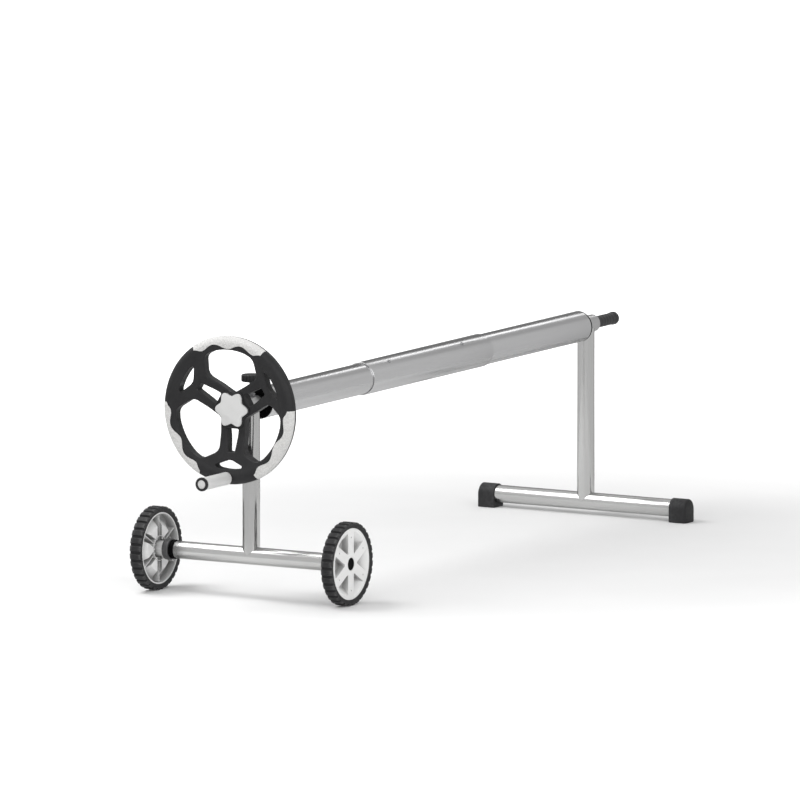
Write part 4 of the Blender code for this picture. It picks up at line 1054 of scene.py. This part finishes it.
def hub(side, name, centre):
    """Moulded hub with six scooped pockets between flat spokes, with a ring and ribs on its inner side."""
    face, back, rim, boss = HUB_FACE, HUB_BACK, HUB_RIM, BOSS_RADIUS
    web = face - HUB_WALL
    socket_floor = face - 10
    profile = [
        (BOLT_BORE, BOSS_END, 0.4), (boss, BOSS_END, 0.4), (boss, web), (rim - HUB_WALL, web),
        (rim - HUB_WALL, back, 0.6), (rim, back, 0.6), (rim, face - 0.2, 0.5), (rim - 1.6, face, 0.4),
        (15.9, face, 0.6), (15.3, face - 0.7, 0.2), (15.3, socket_floor), (BOLT_BORE, socket_floor),
    ]
    axis = OUTWARD[side]
    obj = mesh_object(name + "_moulded_hub", placed(turned(profile, 128), axis, centre))
    floor = face - POCKET_DEPTH
    turns = [(30 + 60 * i) * side for i in range(HUB_SPOKES)]
    for degrees in turns:
        skin = lofted(pocket_rows(degrees, face - 1, floor - POCKET_SKIN, POCKET_SKIN, 0, face))
        combined(obj, skin, axis, centre, "UNION")
    for degrees in turns:
        cutter = lofted(pocket_rows(degrees, face + 4, floor, 0, 0.8, face))
        combined(obj, cutter, axis, centre, "DIFFERENCE")
    ring = turned([(28.6, web + 1), (28.6, -12, 0.4), (30.2, -12, 0.4), (30.2, web + 1)], 96)
    combined(obj, ring, axis, centre, "UNION")
    rib = [(-RIB_HALF, 16), (RIB_HALF, 16), (RIB_HALF, 80), (-RIB_HALF, 80)]
    combined(obj, six_around(rib, -9, web + 1), axis, centre, "UNION")
    dent = [(u, v + DENT_CIRCLE) for u, v in circle(1.9, 16)]
    combined(obj, six_around(dent, face - 1.2, face + 1), axis, centre, "DIFFERENCE")
    body, node = name + "_wheel", name + "_wheel_hub"
    show(obj, body, node, finish_name="hub_plastic", sharp=30)
    bore, outer, end = boss + GAP, 25.5, BOSS_END + 15
    spacer = [(bore, BOSS_END, 0.5), (outer, BOSS_END, 0.9), (outer, end, 0.9), (bore, end, 0.5)]
    obj = turned_piece(name + "_boss_sleeve", body, node, spacer, axis, centre, 96, "sleeve_plastic")


def road_wheels():
    lid = [
        (0, 8.5), (15, 8.5), (15, 10.2, 0.4), (14.3, 11.0, 0.3), (11.5, 11.0, 0.3), (11.0, 10.6, 0.2),
        (0, 10.6),
    ]
    for side, name in ((1, "left"), (-1, "right")):
        centre = middle(name + "_tyre")
        tyre(name, centre)
        hub(side, name, centre)
        turned_piece(name + "_bolt_lid", name + "_wheel", name + "_hub_cap", lid, OUTWARD[side], centre,
                     64, "deep_black")


# Surroundings

# The camera stands far off with a long lens. SIDESTEP is along its own axes.
AZIMUTH = radians(30.0253)
ELEVATION = radians(-8.0551)
ROLL = radians(0.0324)
LOOK = Vector((cos(ELEVATION) * cos(AZIMUTH), cos(ELEVATION) * sin(AZIMUTH), sin(ELEVATION)))
AIM = Vector((-0.5726, -0.3070, 0.4748))
SIDESTEP = (-0.00186, -0.00065)
DISTANCE = 89.8392
LENS = 1700


def camera():
    data = bpy.data.cameras.new("camera")
    data.type = "PERSP"
    data.sensor_width = 36
    data.lens = LENS
    data.clip_start = 1
    data.clip_end = 1000
    obj = bpy.data.objects.new("camera", data)
    turn = LOOK.to_track_quat("-Z", "Y").to_matrix() @ Matrix.Rotation(ROLL, 3, "Z")
    obj.location = AIM + turn @ Vector((*SIDESTEP, DISTANCE))
    obj.rotation_euler = turn.to_euler()
    bpy.context.scene.collection.objects.link(obj)
    bpy.context.scene.camera = obj


def lamp(name, towards, distance, size, size_y, power):
    """Soft lamp in a direction from the object's middle, facing it."""
    data = bpy.data.lights.new(name, "AREA")
    data.shape = "RECTANGLE"
    data.size = size
    data.size_y = size_y
    data.energy = power
    obj = bpy.data.objects.new(name, data)
    direction = Vector(towards).normalized()
    obj.location = Vector((0, 0, 0.3)) + direction * distance
    obj.rotation_euler = (-direction).to_track_quat("-Z", "Y").to_euler()
    bpy.context.scene.collection.objects.link(obj)


# What the metal mirrors of the world, and how much darker it is within some parts of it. Each part has its
# direction, the cosines at which it is full and at which it ends, and its darkness.
MIRRORED_WORLD = 0.68
DARK_PARTS = (
    ((0.857, 0.40, 0.34), 0.983, 0.945, 0.68),
    ((0.995, 0.09, -0.05), 0.970, 0.90, 0.40),
    ((0.86, -0.10, 0.50), 0.995, 0.97, 0.30),
)
AMBIENT = 0.54
FLOOR_RADIUS = 14
FLOOR_COLOUR = 0.80
# Metres from the middle over which the floor turns white, and over which it fades from reflections.
WHITENING = (0.6, 3.6)
FADING = (1.1, 1.7)


def surroundings():
    """White world, pale floor and soft lamps, with darker parts of the world for the metal to mirror."""
    world = bpy.data.worlds.new("studio")
    bpy.context.scene.world = world
    world.use_nodes = True
    tree = world.node_tree
    tree.nodes.clear()
    path = add(tree, "LightPath")
    where = add(tree, "TexCoord").outputs["Generated"]
    mirrored = MIRRORED_WORLD
    for direction, narrow, wide, strength in DARK_PARTS:
        towards = Vector(direction).normalized()
        dot = add(tree, "VectorMath", {"operation": "DOT_PRODUCT"}, (where, towards)).outputs["Value"]
        part = ranged(tree, dot, wide, narrow, 1.0, 1.0 - strength)
        mirrored = math(tree, "MULTIPLY", mirrored, part)
    glossy = math(tree, "MULTIPLY", path.outputs["Is Glossy Ray"], mirrored)
    camera_ray = path.outputs["Is Camera Ray"]
    either = math(tree, "ADD", camera_ray, path.outputs["Is Glossy Ray"], clamp=True)
    ambient = math(tree, "MULTIPLY", math(tree, "SUBTRACT", 1.0, either), AMBIENT)
    total = math(tree, "ADD", math(tree, "ADD", camera_ray, glossy), ambient)
    background = add(tree, "Background", Strength=total, Color=(1, 1, 1, 1))
    output = add(tree, "OutputWorld")
    tree.links.new(background.outputs[0], output.inputs[0])

    body = bmesh.new()
    bmesh.ops.create_circle(body, cap_ends=True, segments=96, radius=FLOOR_RADIUS)
    floor = mesh_object("floor", body)
    floor.location = (0, 0, -0.0004)
    made = bpy.data.materials.new("pale_floor")
    made.use_nodes = True
    tree = made.node_tree
    tree.nodes.clear()
    path = add(tree, "LightPath")
    where = add(tree, "TexCoord").outputs["Object"]
    shade = ranged(tree, noise(tree, where, 3, 3), 0.3, 0.7, 0.985, 1.0)
    seen = path.outputs["Is Camera Ray"]
    tint = add(tree, "CombineColor", None, (math(tree, "MULTIPLY", shade, FLOOR_COLOUR),) * 3).outputs[0]
    lit = add(tree, "BsdfDiffuse", Color=tint).outputs[0]
    reach = add(tree, "VectorMath", {"operation": "LENGTH"}, (where,)).outputs["Value"]
    white = ranged(tree, reach, *WHITENING, 0.02, 1.0)
    glow = add(tree, "Emission", Strength=math(tree, "MULTIPLY", seen, white)).outputs[0]
    both = add(tree, "AddShader", None, (lit, glow)).outputs[0]
    far = ranged(tree, reach, *FADING, 0.0, 1.0)
    gone = math(tree, "MULTIPLY", far, path.outputs["Is Glossy Ray"])
    clear = add(tree, "BsdfTransparent").outputs[0]
    mix = add(tree, "MixShader", None, (gone, both, clear)).outputs[0]
    output = add(tree, "OutputMaterial")
    tree.links.new(mix, output.inputs[0])
    floor.data.materials.append(made)

    lamp("key", (-0.324, 0.495, 0.805), 3.4, 2.5, 2.0, 84)
    lamp("strip", (0.857, 0.16, 0.49), 4.2, 0.42, 1.8, 5.5)
    lamp("fill", (-0.85, -0.35, 0.40), 4.5, 2.2, 2.2, 34)
    lamp("side", (-0.40, -0.83, 0.40), 4.5, 1.6, 1.6, 45)


def keep_node_finishes():
    """CAD nodes that stay take the finish of their slot."""
    for name, obj in frame["nodes"].items():
        obj.data.materials.clear()
        obj.data.materials.append(FINISHES[SLOT_OF[name]])


bpy.context.scene.view_settings.view_transform = "Standard"
keep_node_finishes()
stands()
reel_tubes()
handwheel()
road_wheels()
camera()
surroundings()
